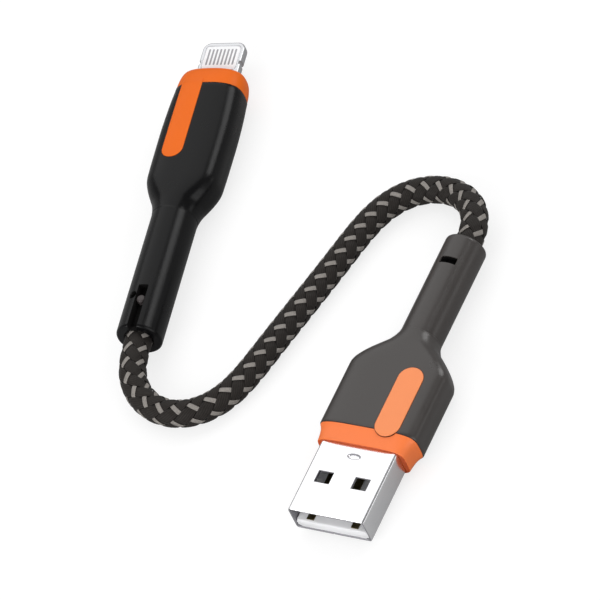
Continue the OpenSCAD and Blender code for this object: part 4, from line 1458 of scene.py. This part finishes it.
@dataclass
class PhonePlug(Plug):
    """Slim plug: bright blade with a contact window, orange collar, black cover (mm)."""

    seat: Seat = PHONE_SEAT
    front: float = 6.6
    cover_start: float = 9.8
    body_end: float = 26.0
    shoulder_end: float = 32.5
    neck_half: float = 3.4
    cover_half: Pair = (5.35, 3.6)
    cover_edge: float = 3.2
    mould_half: Pair = (4.7, 2.5)
    mould_edge: float = 1.4
    mould_end: float = 26.0
    crimp_end: float = 34.5
    join: Pair = (9.2, 10.0)
    swell: float = 0.35
    blade_half: Pair = (3.35, 0.75)
    blade_tip: float = 1.3
    flange_end: float = 12.0
    window: Point = (2.75, 0.75, 5.15)
    window_corner: float = 0.45
    latch: Pair = (3.8, 0.35)
    window_rim: tuple[Pair, ...] = ((0.0, 0.10), (0.03, 0.03), (0.10, 0.0))
    blade_edge: Pair = (0.32, 0.2)
    blade_columns: int = 480
    tongue: tuple[float, float, float, float] = (1.9, 7.8, 23.6, 3.4)
    tongue_rings: tuple[Pair, ...] = (
        (0.0, -0.30), (0.0, 0.03), (0.012, 0.055), (0.04, 0.072), (0.09, 0.08), (0.3, 0.082),
        (0.7, 0.083), (1.2, 0.084), (1.7, 0.084))
    tongue_sink: float = 0.115
    tongue_rise: Pair = (8.2, 9.8)
    slit: Pair = (1.4, 7.3)
    release: Point = (1.35, 5.7, 1.1)
    cut_depths: Pair = (1.2, 0.85)
    pads: int = 8
    pad_pitch: float = 0.6
    pad_half: Pair = (0.15, 1.5)
    pad_start: float = 1.3
    pad_corner: float = 0.12
    pad_rise: float = 0.012
    insert_corner: float = 0.44
    insert_air: float = 0.01
    insert_sink: float = 0.03
    pin_inset: float = 5.1
    pin_profile: tuple[Pair, ...] = (
        (0.0, 2.0), (0.64, 2.0), (0.64, 2.95), (0.58, 3.06), (0.44, 3.14), (0.22, 3.18),
        (0.0, 3.19))

    def collar_stations(self) -> list[Station]:
        """Outer sections of the collar, from its drawn-in front lip to its back."""
        w, h, r = self.cover_half[0] - 0.05, self.cover_half[1] - 0.05, self.cover_edge
        span = self.cover_start - self.front
        return [Station(self.front + span * a, w - b, h - b, r - c) for a, b, c in (
            (0, 0.6, 0.3), (0.1, 0.42, 0.21), (0.3, 0.21, 0.1), (0.7, 0.03, 0), (1, 0, 0))]

    def cover_stations(self) -> list[Station]:
        """Outer sections of the cover through its swell and shoulder to the neck."""
        w, h = self.cover_half
        span = self.body_end - self.cover_start
        return [Station(self.cover_start + span * a, w + self.swell * b, h, self.cover_edge)
                for a, b in ((0, 0), (0.15, 0.45), (0.3, 0.78), (0.5, 1), (0.75, 0.95))
                ] + self.shoulder(w + self.swell * 0.75)

    def cover(self) -> None:
        """Cover with the slit and the round release hole sunk into the neck's top, whichever is
        deeper; the slit is shallower at the tail end."""
        length, n = self.seat.length, self.neck_half
        slit_start = length - self.slit[1]
        neck_at = np.concatenate([np.linspace(self.shoulder_end + 0.05, slit_start - 0.5, 14),
                                  np.arange(slit_start - 0.4, length - 0.47, 0.07)])
        side, inset, wide = self.release

        def cuts(y: Array, a: Array) -> Array:
            """Depth of slit and hole at place y and angle a."""
            x, back = n * (np.pi / 2 - a), length - y
            slit = smooth(np.abs(x), self.slit[0] / 2 + 0.05, self.slit[0] / 2 - 0.05) * smooth(
                back, self.slit[1] + 0.05, self.slit[1] - 0.05)
            hole = smooth(np.hypot(x - side - 0.05, back - inset), wide / 2 + 0.07,
                          wide / 2 - 0.07)
            deep, shallow = self.cut_depths
            return np.where(back < 0.46, shallow, deep) * np.maximum(slit, hole)

        fine = 90 - np.arange(-16.0, 36.0, 0.9)
        # Faces sunk deep in the slit and the release hole take the near-black painted shade of the
        # cut.
        skin = self.cover_skin(26, neck_at, round_columns(160, fine), cuts)
        self.piece("phone_cover_skin", skin, PHONE_COVER, "phone_soft_touch",
                   ["phone_cover"])

    def collar(self) -> None:
        """Orange collar round the blade, with the tongue that runs on over the cover; on the
        collar the tongue sinks by a smooth step, so that the two are one."""
        first, last = self.front, self.cover_start
        at = np.concatenate([first + np.array([0.0, 0.06, 0.15, 0.3]),
                             np.linspace(first + 0.5, last - 0.06, 16)])
        w, h = self.blade_half
        opening = np.array([[y, w + air, h + air, r] for y, air, r in (
            (last, 0.02, 0.45), (first + 0.1, 0.02, 0.45), (first, 0.10, 0.5))])
        ring = self.collar_skin(at, (0.14, 0.045, 0.1), opening)
        x, start, end, width = self.tongue
        # A dark ring round the tongue, painted as the shadow line at its edge.
        self.painted_shadow_ring("phone_tongue_painted_shadow", "orange_collar", x, last + 0.2, end, width)

        def sunk_on_collar(px: Array, py: Array) -> Array:
            """Height of the face under the tongue at px and py."""
            return self.top_of_body(px, py) - self.tongue_sink * (
                1 - smooth(py, *self.tongue_rise))

        tongue = pill_skin(x, start, end, width, sunk_on_collar, self.tongue_rings)
        self.piece("phone_collar_skin", Skin.joined([ring, tongue]), PHONE_COLLAR,
                   "orange_collar", ["phone_collar"], 45.0)

    def blade(self) -> None:
        """Blade as one closed skin that runs through its window.

        Seen from above, each row is an outline about the window's middle, a rounded rectangle
        with a round bite at each latch; the rows go from the window's upper rim over the upper
        face, down the outer edge, back under and up the window. The edge is a quarter ellipse
        that gets sharper in the bites.
        """
        w, h = self.blade_half
        half_x, low, high = self.window
        mid = (low + high) / 2
        a = np.linspace(0, 2 * np.pi, self.blade_columns, endpoint=False)
        cos, sin = np.cos(a), np.sin(a)
        reach = rounded_reach(cos, sin, w, np.where(sin < 0, mid, self.flange_end - mid),
                              np.where(sin < 0, self.blade_tip, 0.05))
        out = np.stack([reach * cos, mid + reach * sin], axis=1)
        bite = np.sqrt(np.maximum(self.latch[1]**2 - (out[:, 1] - self.latch[0])**2, 0))
        out[:, 0] -= np.sign(out[:, 0]) * np.where(np.abs(out[:, 0]) > w - 0.01, bite, 0)
        outward = np.stack([cos, sin], axis=1)
        hole_reach = rounded_reach(cos, sin, half_x, (high - low) / 2, self.window_corner)
        hole = hole_reach[:, None] * outward + [0.0, mid]
        inward = np.array([[0.0, self.flange_end / 2]]) - out
        inward /= np.linalg.norm(inward, axis=1)[:, None]
        plain, sharper = self.blade_edge
        edge = (plain - sharper * smooth(bite, 0.0, 0.15))[:, None]
        rows = [(hole + outward * off, h - drop) for off, drop in self.window_rim]
        rows += [(out + inward * edge * (1 - np.sin(t)), h - edge * (1 - np.cos(t)))
                 for t in np.linspace(0, np.pi / 2, 6)]
        half = [np.concatenate([p, np.broadcast_to(z, (len(p), 1))], axis=1) for p, z in rows]
        points = np.stack(half + [ring * [1, 1, -1] for ring in half[::-1]])
        quads = grid_quads(*points.shape[:2], True, True)
        self.piece("phone_blade_skin", Skin(points.reshape(-1, 3), quads[:, ::-1]),
                   BLADE_METAL, "blade_metal", ["phone_blade"], 42.0)

    @staticmethod
    def bars(cx: Array, cy: float, half: Pair, corner: float, top: float) -> Skin:
        """Flat rounded bars side by side, the same above and below the middle plane.

        A bar is rings of a rounded rectangle, drawn in and lifted at the rim, and closed to a
        point; the angles are crowded towards its short ends so that they stay round.

        Args:
            cx: middle of each bar across the plug.
            cy: middle of the bars along it.
            half: half width and half length.
            corner: corner radius.
            top: height over the middle plane.
        Returns:
            The skin in mm.
        """
        edge = 0.03
        a = round_columns(48)
        rings = np.array([[edge, top], [edge * 0.3, top - edge * 0.3], [0.0, top - edge]])
        rings = np.concatenate([rings, rings[::-1] * [1, -1]])
        turn = np.arctan2(half[1] * np.sin(a), half[0] * np.cos(a))
        inset = rings[:, :1]
        reach = rounded_reach(np.cos(turn), np.sin(turn), half[0] - inset, half[1] - inset, corner)
        points = np.stack(np.broadcast_arrays(
            cx[:, None, None] + reach * np.cos(turn), cy + reach * np.sin(turn), rings[:, 1:]),
            axis=-1)
        points = capped(points)
        rows, cols = points.shape[1:3]
        quads = grid_quads(rows, cols, False, True)[:, ::-1]
        return Skin(points.reshape(-1, 3), repeated_quads(quads, len(cx), rows * cols))

    def window_insert(self) -> None:
        """White insulator with eight slim grey pads in it, on both faces."""
        half_x, low, high = self.window
        top, air = self.blade_half[1] - self.insert_sink, self.insert_air
        plate = self.bars(np.zeros(1), (low + high) / 2,
                          (half_x - air, (high - low) / 2 - air), self.insert_corner, top)
        self.piece("phone_insulator_skin", plate, WHITE_PLASTIC, "white_plastic",
                   ["phone_insulator"], 50.0)
        places = (np.arange(self.pads) - (self.pads - 1) / 2) * self.pad_pitch
        pads = self.bars(places, self.pad_start + self.pad_half[1], self.pad_half,
                         self.pad_corner, top + self.pad_rise)
        self.piece("phone_contact_pads", pads, PAD_GREY, "contact_gold", ["phone_contacts"], 50.0)

    def lock_pin(self) -> None:
        """Small domed grey pin that stands in the slit: its profile of radius and height, turned
        about its axis."""
        radius, height = np.array(self.pin_profile).T[:, :, None]
        a = np.linspace(0, 2 * np.pi, 28, endpoint=False)
        middle = self.seat.length - self.pin_inset
        points = np.stack(np.broadcast_arrays(
            radius * np.cos(a), middle + radius * np.sin(a), height), axis=-1)
        skin = Skin(points.reshape(-1, 3), grid_quads(*points.shape[:2], False, True))
        self.piece("phone_lock_pin_skin", skin, PIN_GREY, "grey_plastic",
                   ["phone_lock_pin"], 50.0)

    def build(self) -> None:
        """Every visible piece of the plug."""
        for make in (self.cover, self.collar, self.blade, self.window_insert, self.lock_pin):
            make()


# ---------------------------------------------------------------- the whole cable


def dress_nodes() -> None:
    """Give each CAD node that stays in view, or inside, its finish."""
    finishes = {
        **dict.fromkeys(("contact_power", "contact_data_minus", "contact_data_plus",
                         "contact_ground"), CONTACT_GOLD),
        **dict.fromkeys(("charger_inner_mould", "phone_inner_mould"), NATURAL_PLASTIC),
        **dict.fromkeys(("charger_crimp", "phone_crimp", "phone_can"), INNER_STEEL),
        "phone_board": BOARD_GREEN, "phone_chip": CHIP_BLACK, "phone_capacitors": CERAMIC,
        "cord_jacket": JACKET, **WIRES}
    for name, finish in finishes.items():
        node = bpy.data.objects.get(name)
        if node is None:
            LOG.warning("no node %s", name)
            continue
        node.data.materials.clear()
        node.data.materials.append(finish.material())


def main() -> None:
    """Build the studio, the cord and both plugs in order."""
    logging.basicConfig(level=logging.INFO, format="%(message)s")
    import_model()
    for assembly in (Studio(), BraidedCord(), ChargerPlug(), PhonePlug()):
        assembly.build()
    dress_nodes()


if __name__ == "__main__":
    main()
